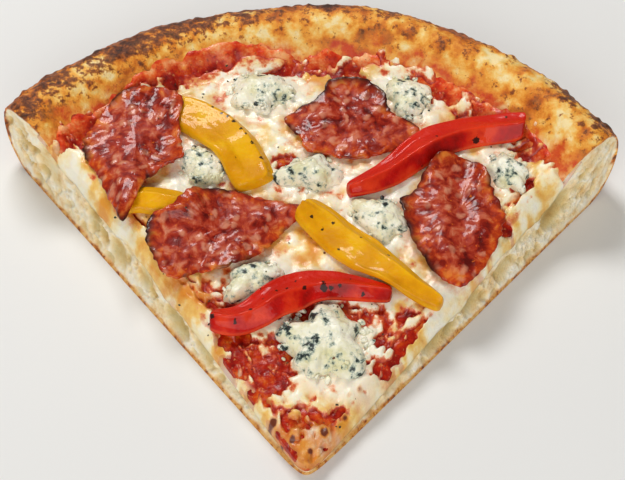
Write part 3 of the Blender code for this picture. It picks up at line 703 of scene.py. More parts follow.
def makeBlueCheese(name, material):
    # a low dome over a ragged outline: radius cos(u), height sin(u)^0.75, crumbled by noise in three axes
    (cx, cy), halfWidth, halfLength, turn, rise = bluePlaces[name]
    v = np.linspace(0, 1, crumble["rows"])[:, None]
    a = np.linspace(0, 2 * np.pi, crumble["sides"] + 1)[None]
    outline = 1.03 + 0.10 * np.sin(3 * a + cx) + 0.07 * np.sin(5 * a + cy)
    outline = outline + crumble["ragged"] * roughNoise(6 * np.cos(a), 6 * np.sin(a), cx, 3.2, 3, 81)
    # v from 0 to a fifth is the underside, from its middle out; the rest is the dome
    u = np.clip((v - 0.2) / 0.8, 0, 1) * np.pi / 2
    out = np.where(v > 0.2, np.cos(u) ** 0.9, v / 0.2)
    lift = np.sin(u) ** 1.15
    wide, long = halfWidth * outline * np.cos(a) * out, halfLength * outline * np.sin(a) * out
    c, s = math.cos(math.radians(turn)), math.sin(math.radians(turn))
    x, y = cx + wide * c - long * s, cy + wide * s + long * c
    rest = restingHeights(cx, cy, halfWidth, halfLength, c, s)
    under = refined(rest, np.clip(out[:, 0], 0, 1) * 6, a[0] / (2 * np.pi) * 24, False)
    z = under - 0.55 + (rise * 0.96 + 0.55) * lift
    lumps, _, _ = cellNoise(x, y, z, 5.0, 83)
    warp = 0.9 * roughNoise(x, y, z, 3, 3, 84)
    curds, curdOwner, _ = cellNoise(x + warp, y - warp, z + warp, 2.9, 85)
    bump = crumble["lump"] * (0.62 - lumps) * 1.4 + crumble["curd"] * (0.6 - curds) * (0.5 + curdOwner)
    bump = bump + 0.5 * roughNoise(x, y, z, 5, 2, 87) + crumble["grain"] * roughNoise(x, y, z, 1.3, 3, 89)
    bump = bump * smoothStep(0, 0.5, lift)
    slope = np.stack([wide * c - long * s, wide * s + long * c, 5 * (0.3 + lift) + 0 * x], -1)
    slope = slope / np.linalg.norm(slope, axis=-1, keepdims=True)
    points = np.stack([x, y, z], -1) + bump[..., None] * slope
    points[:, -1] = points[:, 0]
    points[-1], points[0] = points[-1].mean(0), points[0].mean(0)
    body = Body()
    body.grid(body.add(points, lift=lift + 0 * x, crease=curds))
    dome = points[v[:, 0] > 0.2]
    pile.lay(dome[..., 0], dome[..., 1], dome[..., 2])
    return makePiece(titleOf(name), material, "blue_cheese", [name], *body.weld(), body.values)


# strips of pepper: middle line, widths at start, middle and end, height, where across it the ridge is, and how
# far each face falls away from the ridge
pepperLines = {
    "yellow_pepper_short": (((-55, 76.5), (-48, 77.5), (-41.5, 77), (-35, 75.5)), (7, 9, 8), 3.6, 0.1, (0.3, 0.3)),
    "yellow_pepper_left": (
        ((-45, 111.5), (-38, 110.4), (-31.8, 106.6), (-26.2, 100.6), (-21.0, 93.5), (-16.6, 85)), (12.5, 14.6, 13.0), 3.9,
        0.66, (0.22, 0.62),
    ),
    "red_pepper_front": (
        ((-27, 40.6), (-20.5, 40.4), (-14.2, 43.2), (-8, 47.4), (-1.5, 51.2), (5.5, 52.6), (12.5, 52.0), (22, 50.4)),
        (6.4, 11.4, 5.0), 5.0, -0.25, (0.6, 0.35),
    ),
    "yellow_pepper_long": (
        ((-3.5, 77.5), (2.5, 73.2), (8.5, 67.4), (15, 62.2), (21.5, 57.4), (28, 52.4), (35.4, 47.2)), (10.5, 11.8, 4.6),
        4.2, 0.35, (0.30, 0.45),
    ),
    "red_pepper_back": (
        ((9.5, 83.6), (15, 86.2), (22, 90.6), (30, 97.4), (38, 102.4), (46, 105.4), (54, 106.2), (61, 105.4)),
        (5.0, 11.0, 9.6), 5.6, -0.35, (0.65, 0.35),
    ),
}
# charred spots on the strips: x, y, reach
pepperChars = (
    (-31, 111.4, 0.7), (-28.2, 109, 0.9), (-26.4, 107.8, 0.7), (-24.2, 105.8, 1.1), (-21.8, 102.4, 0.9), (-20.4, 100, 0.6),
    (-18.4, 97.2, 0.9), (-15.8, 92.8, 1.0), (-29, 92, 0.5), (-23, 92, 0.5), (2.6, 69.5, 0.8), (5.4, 71.4, 0.9),
    (-0.6, 73.0, 0.8), (21, 61.6, 0.6), (13.5, 66.5, 0.6), (46.6, 101.2, 1.4), (47.6, 99.4, 0.9), (35, 100.6, 0.6),
    (56, 106.6, 0.6), (31, 92, 0.6), (-9.4, 47.6, 0.6), (-6.4, 48.6, 0.9), (-2.0, 49.4, 0.9), (3.4, 50.6, 1.5),
    (5.4, 50.2, 0.9), (7.8, 51.0, 0.7), (-12.6, 45.2, 0.6), (-16, 41.8, 0.6), (-20, 38.6, 0.6), (-26, 39.8, 0.9),
    (14, 49.6, 0.6), (-4.4, 51.8, 0.5), (10.6, 53.4, 0.5), (0.6, 52.4, 0.5),
)
pepperShape = {"stations": 240, "around": 84, "wrinkle": 0.30, "ripple": 0.12, "edge": 0.26}


def bridged(height, passes):
    # lets a strip span dips along its length, without sinking into what is below
    for _ in range(passes):
        wide = height.copy()
        wide[1:-1] = (height[:-2] + height[2:]) / 2
        height = np.maximum(height, wide)
    return height


def makePepper(name, material):
    # a strip swept along its middle line: two faces that meet in a rounded ridge, and a hollow underside
    line, widths, rise, ridge, falls = pepperLines[name]
    line = np.array(line, float)
    stations, around, coarse = pepperShape["stations"], pepperShape["around"], 24
    coarseShare = np.linspace(0, 1, coarse)
    middle = alongCurve(line, coarseShare * (len(line) - 1))
    along = np.gradient(middle, axis=0)
    along = along / np.linalg.norm(along, axis=1)[:, None]
    side = np.stack([-along[:, 1], along[:, 0]], -1)
    width = np.interp(coarseShare, [0, 0.5, 1], widths)
    x = middle[:, :1] + side[:, :1] * width[:, None] / 2 * np.linspace(-1, 1, 9)
    y = middle[:, 1:] + side[:, 1:] * width[:, None] / 2 * np.linspace(-1, 1, 9)
    under = bridged(pile.under(x, y, 1.2), 6)
    under = np.maximum(under, under.max(1, keepdims=True) - 1.6)
    for _ in range(2):
        under[1:-1] = (under[:-2] + under[1:-1] + under[2:]) / 3
    share = np.linspace(0, 1, stations)
    place = share * (coarse - 1)
    middle, side = alongCurve(middle, place), alongCurve(side, place)
    length = np.linalg.norm(np.diff(middle, axis=0), axis=1).sum()
    run = share[:, None] * length
    taper = np.sqrt(np.clip(1 - np.abs(2 * share - 1) ** 12 * 0.6, 0, 1))[:, None]
    half = np.interp(share, [0, 0.5, 1], widths)[:, None] / 2 * taper
    half = half * (1 + 0.06 * roughNoise(run, 0, rise, 9, 3, 91))
    ends = np.clip(np.minimum(run, length - run) / 1.6, 0, 1)
    close = np.sqrt(1 - (1 - ends) ** 3)
    # half a turn of the section goes over the back, from one cut edge to the other, and half goes underneath
    turn = np.linspace(0, 2 * np.pi, around + 1)[None]
    across = -np.cos(turn)
    upper = np.sin(turn) > 0
    crest = ridge + 0.12 * roughNoise(run, 0, 3, 10, 2, 92)
    away = np.where(across < crest, (crest - across) / (1 + crest), (across - crest) / (1 - crest))
    # each face slopes from the ridge and dips a little half way; both turn down sharply at their cut edges
    slope = np.where(across < crest, falls[0], falls[1])
    roof = 1 - slope * (np.sqrt(away**2 + 0.006) - 0.077) - 0.10 * np.sin(np.pi * np.clip(away, 0, 1))
    arch = np.sqrt(np.clip(1 - np.abs(across) ** 7, 0, 1))
    low = refined(under, place, (across[0] + 1) * 4, False)
    high = rise * (0.7 + 0.3 * taper)
    z = low - 0.3 + high * np.where(upper, 0.16 + (roof - 0.16) * arch, 0.16 * (1 - arch)) * (0.35 + 0.65 * close)
    wrinkle = pepperShape["wrinkle"] * roughNoise(run, across * half, rise * 3, 6.5, 3, 93)
    wrinkle = wrinkle + pepperShape["ripple"] * roughNoise(run * 0.6, across * half * 1.6, rise, 1.8, 3, 95)
    z = z + wrinkle * np.where(upper, arch, 0.0)
    reach = half * across * close * (1 + 0.05 * roughNoise(run, turn, 0, 4, 2, 97))
    x = middle[:, :1] + side[:, :1] * reach
    y = middle[:, 1:] + side[:, 1:] * reach
    points = np.stack([x, y, z], -1)
    points[:, -1] = points[:, 0]
    points[0], points[-1] = points[0].mean(0), points[-1].mean(0)
    char = np.zeros(x.shape)
    for cx, cy, reachOf in pepperChars:
        char = np.maximum(char, np.exp(-(((x - cx) ** 2 + (y - cy) ** 2) / reachOf**2)))
    char = char * upper * smoothStep(0.35, 0.7, arch)
    face = smoothStep(-0.08, 0.08, across - crest)
    rimmed = smoothStep(0.75, 0.35, arch) * upper
    body = Body()
    # ridge: nearness to the ridge, which the material uses to paint a highlight along it
    body.grid(body.add(points, edge=rimmed + 0 * x, char=char, face=face + 0 * x, ridge=np.exp(-((away / 0.12) ** 2))))
    back = points[:, (np.sin(turn) > -0.01)[0]]
    pile.lay(back[..., 0], back[..., 1], back[..., 2])
    return makePiece(titleOf(name), material, name.rsplit("_", 1)[0], [name], *body.weld(), body.values)


# pepperoni slices: the outline, each point with how far its edge has curled up, then the folds across it:
# each one's two ends, half width and height
pepperoniPlaces = {
    "pepperoni_front_left": (
        (
            (-46.2, 64.0, 1.8), (-45.5, 70.0, 1.6), (-41.5, 73.2, 0.6), (-37.3, 76.0, 1.0), (-34.0, 80.0, 2.0),
            (-27.4, 81.6, 1.8), (-19.0, 81.2, 0.4), (-11.4, 79.6, 0.6), (-5.0, 78.2, 1.4), (-3.2, 76.0, 1.0),
            (-7.8, 70.2, 0.2), (-13.0, 63.4, 0.2), (-19.4, 57.8, 0.3), (-25.0, 55.2, 0.8), (-31.0, 54.8, 0.2),
            (-38.0, 51.8, 0.6), (-43.4, 57.2, 1.2),
        ),
        (((-36, 74), (-14, 74), 6.0, 1.0), ((-24, 58), (-20, 66), 4.0, 0.8)),
    ),
    "pepperoni_left": (
        (
            (-62.2, 112.0, 1.0), (-58.0, 116.6, 1.6), (-51.0, 118.6, 1.8), (-44.4, 117.4, 1.2),
            (-40.2, 113.0, 0.6), (-40.4, 105.0, 0.4), (-38.8, 96.0, 0.8), (-38.4, 91.0, 1.4),
            (-44.5, 87.4, 1.6), (-48.6, 81.6, 0.6), (-50.0, 75.0, 0.2), (-53.0, 68.4, 0.2),
            (-56.4, 73.4, 0.2), (-61.0, 83.0, 0.3), (-66.0, 90.6, 0.6), (-68.2, 97.0, 1.0),
            (-65.8, 104.6, 1.2),
        ),
        (((-54, 110), (-53, 84), 6.0, 2.2), ((-62, 100), (-58, 84), 3.5, 1.0)),
    ),
    "pepperoni_back": (
        (
            (-9.8, 107.6, 1.0), (-5.8, 112.4, 1.6), (0.2, 116.0, 2.6), (3.0, 121.6, 3.8), (8.5, 123.4, 4.0),
            (14.5, 122.4, 4.0), (19.4, 119.2, 3.4), (21.6, 112.6, 2.0), (25.6, 109.2, 1.8), (30.2, 106.2, 1.2),
            (29.4, 102.8, 0.4), (22.6, 98.6, 0.2), (14.5, 95.6, 0.2), (5.5, 96.2, 0.2), (-2.8, 97.6, 0.4),
            (-5.2, 102.4, 0.4),
        ),
        (((4, 112), (14, 112), 6.0, 1.6),),
    ),
    "pepperoni_right": (
        (
            (35.6, 94.6, 1.2), (41.0, 95.0, 1.0), (47.2, 92.8, 1.2), (50.0, 88.0, 1.4), (51.2, 82.0, 1.2),
            (54.0, 76.0, 1.2), (53.2, 71.4, 0.6), (50.6, 64.6, 0.3), (45.0, 55.8, 0.2), (39.6, 53.2, 0.4),
            (34.2, 56.6, 0.6), (29.6, 63.4, 0.8), (25.6, 72.4, 1.2), (24.2, 78.6, 1.4), (28.0, 83.2, 1.6),
            (31.4, 89.2, 1.6),
        ),
        (((34, 84), (37, 58), 5.0, 2.4), ((46, 84), (46, 68), 4.0, 1.0)),
    ),
}
slicing = {"rings": 5, "sides": 28, "fineRings": 84, "fineSides": 420, "thickness": 1.35, "reach": 2.2, "teeth": 0.8}


def smoothedDisc(height):
    # evens out a disc of rings, each point towards its neighbours round its ring and across it
    roundRing = (np.roll(height, 1, axis=1) + np.roll(height, -1, axis=1)) / 2
    outward = np.vstack([height[:1], height[:-1]])
    inward = np.vstack([height[1:], height[-1:]])
    evened = (height + roundRing + (outward + inward) / 2) / 3
    evened[-1] = evened[-1].mean()
    return evened


def drapedHeights(outline, folds):
    # a coarse disc laid on the pile: ridges exp(-(d / half width)^2), its edge curled up by curl * out^3
    sides, rings = slicing["sides"], slicing["rings"]
    edge = alongCurve(outline, np.arange(sides) / sides * len(outline), True)
    centre = edge[:, :2].mean(0)
    out = np.linspace(1, 0, rings)[:, None]
    x = centre[0] + (edge[:, 0] - centre[0]) * out
    y = centre[1] + (edge[:, 1] - centre[1]) * out
    rest = pile.under(x, y, slicing["reach"])
    under = rest
    for _ in range(4):
        under = np.maximum(rest, smoothedDisc(under))
    lifted = np.zeros_like(x)
    for (ax, ay), (bx, by), halfWidth, rise in folds:
        share = np.clip(((x - ax) * (bx - ax) + (y - ay) * (by - ay)) / ((bx - ax) ** 2 + (by - ay) ** 2), 0, 1)
        away = np.hypot(x - ax - share * (bx - ax), y - ay - share * (by - ay))
        lifted = np.maximum(lifted, rise * np.exp(-((away / halfWidth) ** 2)))
    return under + lifted * (1 - out**8) + edge[:, 2] * out**3, centre


def makePepperoni(name, material):
    # the draped disc read on a fine grid, with small teeth along its edge and fat that stands a little proud
    outline, folds = pepperoniPlaces[name]
    outline = np.array(outline)
    under, centre = drapedHeights(outline, folds)
    turn = np.linspace(0, 1, slicing["fineSides"] + 1)
    edge = alongCurve(outline, turn[:-1] * len(outline), True)
    edge = np.vstack([edge, edge[:1]])
    reach = edge[:, :2] - centre
    size = np.linalg.norm(reach, axis=1)
    teeth = slicing["teeth"] * roughNoise(edge[:, 0], edge[:, 1], 0, 1.6, 2, 101)
    teeth = teeth + 0.5 * roughNoise(edge[:, 0], edge[:, 1], 0, 5, 2, 103)
    out = np.sin(np.linspace(0, 1, slicing["fineRings"]) * np.pi / 2) ** 0.9
    low = refined(under, (1 - out) * (slicing["rings"] - 1), turn * slicing["sides"], True)
    out = out[:, None]
    x = centre[0] + reach[:, 0] * out * (1 + teeth / size)
    y = centre[1] + reach[:, 1] * out * (1 + teeth / size)
    rim = size * (1 - out)  # distance in from the edge
    low = low + 0.75 * roughNoise(x, y, 0, 7, 3, 105) * (0.4 + 0.6 * out) - 0.15
    low = low + 0.8 * roughNoise(edge[:, 0], edge[:, 1], 0, 4.5, 2, 106) * out**6
    # patches of fat, which the material also uses for a painted pinkish sheen
    fat, fatOwner, _ = cellNoise(
        x + 1.4 * roughNoise(x, y, 0, 2.5, 3, 111), y + 1.4 * roughNoise(x, y, 0, 2.5, 3, 112), 0, 3.0, 107
    )
    fat = smoothStep(0.60, 0.12, fat) * smoothStep(0.3, 0.8, fatOwner)
    grain = 0.16 * fat + 0.20 * roughNoise(x, y, 0, 2.8, 2, 109)
    thickness = slicing["thickness"] * (1 - 0.35 * np.exp(-rim / 2.5))
    rounded = np.sqrt(np.clip(1 - (1 - np.clip(rim / 0.6, 0, 1)) ** 2, 0, 1))
    top = low + thickness * (0.5 + 0.5 * rounded) + grain * np.clip(rim / 0.8, 0, 1)
    bottom = low + thickness * (0.5 - 0.5 * rounded)
    points = np.concatenate([np.stack([x, y, bottom], -1), np.stack([x, y, top], -1)[::-1]])
    points[:, -1] = points[:, 0]
    points[0], points[-1] = points[0].mean(0), points[-1].mean(0)
    burnt = smoothStep(-0.25, 0.45, roughNoise(edge[:, 0], edge[:, 1], 0, 5, 3, 113) + 0.3 * (edge[:, 2] - 0.8))
    crisp = np.exp(-((rim / (0.35 + 1.5 * burnt)) ** 2)) * burnt
    kept = {"crisp": crisp, "fat": fat, "rim": smoothStep(7.5, 0.5, rim)}
    body = Body()
    body.grid(body.add(points, **{key: np.concatenate([value, value[::-1]]) for key, value in kept.items()}))
    pile.lay(x, y, top)
    return makePiece(titleOf(name), material, "pepperoni", [name], *body.weld(), body.values)


def scattered(count, box, wanted, seed):
    # random plan places in a box (x from, x to, y from, y to), off the cuts and the rim, where wanted(x, y) holds
    own = np.random.default_rng(seed)
    x, y = own.uniform(box[0], box[1], count * 60), own.uniform(box[2], box[3], count * 60)
    keep = (cutDistance(x, y) > 2.0) & (rimInset(x, y) > 24) & wanted(x, y)
    return x[keep][:count], y[keep][:count]


def makeBits(name, material, slot, x, y, size, flat, sink, rough, seed, **values):
    # small rounded bits: a ball of radius cos(latitude), flattened, pushed about by noise and set on the pile
    own = np.random.default_rng(seed)
    count = len(x)
    size = size * own.uniform(0.5, 1.5, count)[:, None, None]
    stretch, turn = own.uniform(0.45, 1.0, (2, count))[:, :, None, None]
    latitude = np.linspace(-np.pi / 2, np.pi / 2, 10)[None, :, None]
    longitude = np.linspace(0, 2 * np.pi, 15)[None, None]
    c, s = np.cos(40 * turn), np.sin(40 * turn)
    along, across = np.cos(latitude) * np.cos(longitude), stretch * np.cos(latitude) * np.sin(longitude)
    up = np.sin(latitude) + 0 * longitude
    number = np.arange(count)[:, None, None] * 7.3
    swell = size * (1 + rough * roughNoise(1.6 * along + number, 1.6 * across, 1.6 * up, 1, 2, 121))
    gx, gy = x[:, None, None] + (along * c - across * s) * swell, y[:, None, None] + (along * s + across * c) * swell
    rest = pile.under(x, y, 0.5)[:, None, None]
    gz = rest + size * flat * (1 - 2 * sink) + up * swell * flat
    points = np.stack([gx, gy, gz], -1)
    points[:, :, -1] = points[:, :, 0]
    points[:, 0], points[:, -1] = points[:, 0].mean(1, keepdims=True), points[:, -1].mean(1, keepdims=True)
    body = Body()
    kept = {key: np.asarray(value)[..., None, None] for key, value in values.items()}
    for one in body.add(points, **kept):
        body.grid(one)
    return makePiece(name, material, slot, [], *body.weld(), body.values)


def makeCrumbs(mould):
    # crumbs round the lumps of blue cheese
    def nearBlue(x, y):
        return np.min([
            np.abs(zoneReach(x, y, (*place[0], place[1], place[2], place[3])) - 1.05) for place in bluePlaces.values()
        ], axis=0) < 0.12

    x, y = scattered(120, (-45, 62, 20, 132), nearBlue, 214)
    makeBits(
        "blueCheeseCrumbs", mould, "blue_cheese", x, y, 0.8, 0.5, 0.5, 0.6, 215,
        crease=np.random.default_rng(216).uniform(0.2, 1.1, len(x)), lift=0.5,
    )


def makeFlakes(name, herb, count, size, seed):
    # flakes of dried herb and crushed pepper over the toppings
    x, y = scattered(count, (-75, 75, 8, 140), lambda x, y: cheeseShare(x, y) > 0.3, seed)
    makeBits(name, herb, None, x, y, size, 0.35, 0.3, 0.6, seed + 1)

def toLinear(text):
    # sRGB hex to linear light: c / 12.92 near black, otherwise ((c + 0.055) / 1.055)^2.4
    parts = [int(text[k : k + 2], 16) / 255 for k in (0, 2, 4)]
    return (*(c / 12.92 if c <= 0.04045 else ((c + 0.055) / 1.055) ** 2.4 for c in parts), 1)


def add(tree, kind, inputs=None, out=0, stops=None, **settings):
    # one node with its settings, its inputs (a number, a hex colour or another node's output) and ramp stops
    node = tree.nodes.new("ShaderNode" + kind)
    for key, value in settings.items():
        setattr(node, key, value)
    if stops:
        ramp = node.color_ramp
        while len(ramp.elements) < len(stops):
            ramp.elements.new(1.0)
        for element, (place, colour) in zip(ramp.elements, stops):
            element.position = place
            element.color = toLinear(colour)
    for key, value in (inputs or {}).items():
        if isinstance(value, bpy.types.NodeSocket):
            tree.links.new(value, node.inputs[key])
        else:
            node.inputs[key].default_value = toLinear(value) if isinstance(value, str) else value
    return node.outputs[out]


def perMm(size):
    # a texture's scale for a pattern that repeats about every `size` millimetres
    return 1000 / size


def startMaterial(name, colour, roughness):
    # an empty node tree, with plain values beside it for viewers that don't show nodes
    material = bpy.data.materials.new(name)
    material.use_nodes = True
    material.diffuse_color = toLinear(colour)
    material.roughness = roughness
    material.node_tree.nodes.clear()
    return material, material.node_tree


def endMaterial(tree, shader):
    output = tree.nodes.new("ShaderNodeOutputMaterial")
    tree.links.new(shader, output.inputs["Surface"])


def doughMaterial():
    # oven-baked wheat dough: a dry golden skin that spots brown and chars where it blistered, over a cream
    # crumb with painted shade in it, darker and greener in its hollows and in small dark spots for its small holes;
    # little gloss on the skin, a soft translucence in the crumb
    material, tree = startMaterial("bakedDough", "E0AC62", 0.6)
    place = add(tree, "TexCoord", out="Object")
    crust, pit, bake, char, stain, blister, under = (
        add(tree, "Attribute", out="Fac", attribute_name=name)
        for name in ("crust", "pit", "bake", "char", "stain", "blister", "under")
    )
    broad = add(tree, "TexNoise", {"Vector": place, "Scale": perMm(12), "Detail": 4, "Roughness": 0.6})
    middling = add(tree, "TexNoise", {"Vector": place, "Scale": perMm(5), "Detail": 4, "Roughness": 0.62})
    fine = add(tree, "TexNoise", {"Vector": place, "Scale": perMm(2.0), "Detail": 5, "Roughness": 0.68})
    grain = add(tree, "TexNoise", {"Vector": place, "Scale": perMm(0.6), "Detail": 3, "Roughness": 0.6})
    # golden ground: the baked amount, mottled at 12 mm and 5 mm
    shade = add(tree, "Math", {0: broad, 1: 1.3, 2: bake}, operation="MULTIPLY_ADD")
    shade = add(tree, "Math", {0: middling, 1: 1.5, 2: shade}, operation="MULTIPLY_ADD")
    shade = add(tree, "Math", {0: blister, 1: 0.12, 2: shade}, operation="MULTIPLY_ADD")
    shade = add(tree, "Math", {0: shade, 1: 1.34}, operation="SUBTRACT")
    ground = add(tree, "ValToRGB", {"Fac": shade}, stops=(
        (0.0, "FBE2A6"), (0.16, "F9CC70"), (0.32, "F2A83C"), (0.48, "E08420"), (0.64, "C46414"), (0.86, "8E3E0E"),
    ))
    # leopard spots: orange-brown, then dark, then black, where fine noise plus the charred amount is high
    spotted = add(tree, "Math", {0: char, 1: 0.24, 2: fine}, operation="MULTIPLY_ADD")
    spotted = add(tree, "Math", {0: shade, 1: 0.22, 2: spotted}, operation="MULTIPLY_ADD")
    spotted = add(tree, "Math", {0: blister, 1: 0.06, 2: spotted}, operation="MULTIPLY_ADD")
    cover = add(tree, "MapRange", {"Value": spotted, "From Min": 0.655, "From Max": 0.715, "To Max": 0.95})
    spot = add(tree, "ValToRGB", {"Fac": spotted}, stops=(
        (0.66, "BC6A1E"), (0.73, "96501C"), (0.81, "683214"), (0.94, "30170C"),
    ))
    skin = add(tree, "Mix", {0: cover, 6: ground, 7: spot}, 2, data_type="RGBA")
    wet = add(tree, "Math", {0: stain, 1: middling}, operation="MULTIPLY")
    wet = add(tree, "MapRange", {"Value": wet, "From Min": 0.1, "From Max": 0.55, "To Max": 0.85})
    soaked = add(tree, "ValToRGB", {"Fac": wet}, stops=((0.0, "F2B050"), (0.45, "E9822E"), (0.85, "D2401E")))
    skin = add(tree, "Mix", {0: wet, 6: skin, 7: soaked}, 2, data_type="RGBA")
    base = add(tree, "ValToRGB", {"Fac": fine}, stops=((0.36, "EBBE74"), (0.5, "DF9C48"), (0.58, "B5621E"), (0.68, "5A2A10")))
    skin = add(tree, "Mix", {0: under, 6: skin, 7: base}, 2, data_type="RGBA")
    # painted shade: the crumb is darker and greener the deeper its pits are
    deep = add(tree, "MapRange", {"Value": pit, "From Min": 0.1, "From Max": 2.0})
    crumb = add(tree, "ValToRGB", {"Fac": deep}, stops=((0.0, "FCF3DE"), (0.25, "F2E4C0"), (0.6, "DCC892"), (1.0, "B8A066")))
    mottled = add(tree, "ValToRGB", {"Fac": middling}, stops=((0.38, "FFFFFF"), (0.52, "FFF4DE"), (0.68, "F0D2A0")))
    crumb = add(tree, "Mix", {0: 1.0, 6: crumb, 7: mottled}, 2, data_type="RGBA", blend_type="MULTIPLY")
    # painted shade: small dark brown spots stand for the shade inside the crumb's small holes
    paintedHoleShade = add(tree, "MapRange", {"Value": fine, "From Min": 0.68, "From Max": 0.74, "To Max": 0.75})
    crumb = add(tree, "Mix", {0: paintedHoleShade, 6: crumb, 7: "8A5A26"}, 2, data_type="RGBA")
    colour = add(tree, "Mix", {0: crust, 6: crumb, 7: skin}, 2, data_type="RGBA")
    height = add(tree, "Math", {0: grain, 1: 0.4, 2: fine}, operation="MULTIPLY_ADD")
    bump = add(tree, "Bump", {"Strength": 0.8, "Distance": 0.0006, "Height": height})
    dull = add(tree, "MapRange", {"Value": wet, "From Max": 0.8, "To Min": 0.55, "To Max": 0.32})
    endMaterial(tree, add(tree, "BsdfPrincipled", {
        "Base Color": colour, "Roughness": dull, "Normal": bump, "IOR": 1.45, "Specular IOR Level": 0.4,
        "Subsurface Weight": 0.1, "Subsurface Radius": (1.0, 0.6, 0.3), "Subsurface Scale": 0.0015,
    }))
    return material


def sauceMaterial():
    # cooked tomato: a wet, saturated red with orange oil, brighter flesh and darker specks; high gloss
    material, tree = startMaterial("tomatoSauce", "B4200E", 0.28)
    place = add(tree, "TexCoord", out="Object")
    thin = add(tree, "Attribute", out="Fac", attribute_name="thin")
    broad = add(tree, "TexNoise", {"Vector": place, "Scale": perMm(5), "Detail": 5, "Roughness": 0.6})
    fine = add(tree, "TexNoise", {"Vector": place, "Scale": perMm(1.4), "Detail": 4, "Roughness": 0.6})
    colour = add(tree, "ValToRGB", {"Fac": broad}, stops=(
        (0.32, "6A0803"), (0.42, "951104"), (0.51, "B42206"), (0.60, "CC480E"), (0.70, "E08028"),
    ))
    bright = add(tree, "ValToRGB", {"Fac": broad}, stops=((0.34, "C0200C"), (0.45, "DC4418"), (0.54, "EC7436"), (0.66, "F6B67C")))
    colour = add(tree, "Mix", {0: thin, 6: colour, 7: bright}, 2, data_type="RGBA")
    dark = add(tree, "MapRange", {"Value": fine, "From Min": 0.60, "From Max": 0.70, "To Max": 0.6})
    colour = add(tree, "Mix", {0: dark, 6: colour, 7: "640B04"}, 2, data_type="RGBA")
    pale = add(tree, "MapRange", {"Value": fine, "From Min": 0.42, "From Max": 0.32, "To Max": 0.55})
    colour = add(tree, "Mix", {0: pale, 6: colour, 7: "E6985C"}, 2, data_type="RGBA")
    bump = add(tree, "Bump", {"Strength": 0.7, "Distance": 0.0005, "Height": fine})
    endMaterial(tree, add(tree, "BsdfPrincipled", {
        "Base Color": colour, "Roughness": 0.32, "Normal": bump, "IOR": 1.40, "Specular IOR Level": 0.25,
        "Subsurface Weight": 0.12, "Subsurface Radius": (1.0, 0.15, 0.08), "Subsurface Scale": 0.0012,
        "Coat Weight": 0.15, "Coat Roughness": 0.1,
    }))
    return material


def mozzarellaMaterial():
    # melted mozzarella: ivory and oily, blushed by the sauce wherever it is thin, yellow where fat has run,
    # toasted on its highest swellings
    material, tree = startMaterial("meltedMozzarella", "F0DDB4", 0.35)
    place = add(tree, "TexCoord", out="Object")
    film, oil, toast, side, white, dip = (
        add(tree, "Attribute", out="Fac", attribute_name=name)
        for name in ("film", "oil", "toast", "side", "white", "dip")
    )
    broad = add(tree, "TexNoise", {"Vector": place, "Scale": perMm(10), "Detail": 5, "Roughness": 0.6})
    fine = add(tree, "TexNoise", {"Vector": place, "Scale": perMm(2.4), "Detail": 5, "Roughness": 0.65})
    grain = add(tree, "TexNoise", {"Vector": place, "Scale": perMm(0.9), "Detail": 3, "Roughness": 0.6})
    # white curd on the high places, golden fat in the dips between
    fatty = add(tree, "Math", {0: dip, 1: 0.22, 2: broad}, operation="MULTIPLY_ADD")
    ivory = add(tree, "ValToRGB", {"Fac": fatty}, stops=(
        (0.36, "FDF4DE"), (0.49, "FBE6B4"), (0.58, "F3C66C"), (0.72, "E4982E"),
    ))
    creamy = add(tree, "MapRange", {"Value": white, "To Max": 0.85})
    ivory = add(tree, "Mix", {0: creamy, 6: ivory, 7: "FAF1DC"}, 2, data_type="RGBA")
    # what shows of the sauce: film thickness with some noise, from red through orange-pink to none
    depth = add(tree, "Math", {0: fine, 1: 3.2, 2: film}, operation="MULTIPLY_ADD")
    depth = add(tree, "Math", {0: depth, 1: 1.6}, operation="SUBTRACT")
    through = add(tree, "MapRange", {"Value": depth, "From Min": 1.5, "From Max": 0.1})
    blush = add(tree, "ValToRGB", {"Fac": through}, stops=(
        (0.0, "F5C68E"), (0.35, "E8965C"), (0.65, "D05026"), (1.0, "A8200A"),
    ))
    seen = add(tree, "MapRange", {"Value": through, "From Min": 0.02, "From Max": 0.5})
    closed = add(tree, "MapRange", {"Value": side, "To Min": 1.0, "To Max": 0.45})
    seen = add(tree, "Math", {0: seen, 1: closed}, operation="MULTIPLY")
    colour = add(tree, "Mix", {0: seen, 6: ivory, 7: blush}, 2, data_type="RGBA")
    oiled = add(tree, "Math", {0: oil, 1: fine}, operation="MULTIPLY")
    oiled = add(tree, "MapRange", {"Value": oiled, "From Min": 0.25, "From Max": 0.62, "To Max": 0.85})
    colour = add(tree, "Mix", {0: oiled, 6: colour, 7: "D87A1C"}, 2, data_type="RGBA")
    toasted = add(tree, "Math", {0: fine, 1: 0.9, 2: toast}, operation="MULTIPLY_ADD")
    brown = add(tree, "MapRange", {"Value": toasted, "From Min": 0.75, "From Max": 1.5})
    scorched = add(tree, "ValToRGB", {"Fac": brown}, stops=((0.0, "F2BE62"), (0.45, "E19226"), (0.75, "B35C16"), (1.0, "6E2E12")))
    colour = add(tree, "Mix", {0: brown, 6: colour, 7: scorched}, 2, data_type="RGBA")
    height = add(tree, "Math", {0: grain, 1: 0.5, 2: fine}, operation="MULTIPLY_ADD")
    bump = add(tree, "Bump", {"Strength": 0.45, "Distance": 0.0005, "Height": height})
    gloss = add(tree, "MapRange", {"Value": broad, "From Min": 0.35, "From Max": 0.65, "To Min": 0.28, "To Max": 0.5})
    endMaterial(tree, add(tree, "BsdfPrincipled", {
        "Base Color": colour, "Roughness": gloss, "Normal": bump, "IOR": 1.44,
        "Subsurface Weight": 0.2, "Subsurface Radius": (1.0, 0.6, 0.3), "Subsurface Scale": 0.0015,
        "Coat Weight": 0.25, "Coat Roughness": 0.12,
    }))
    return material


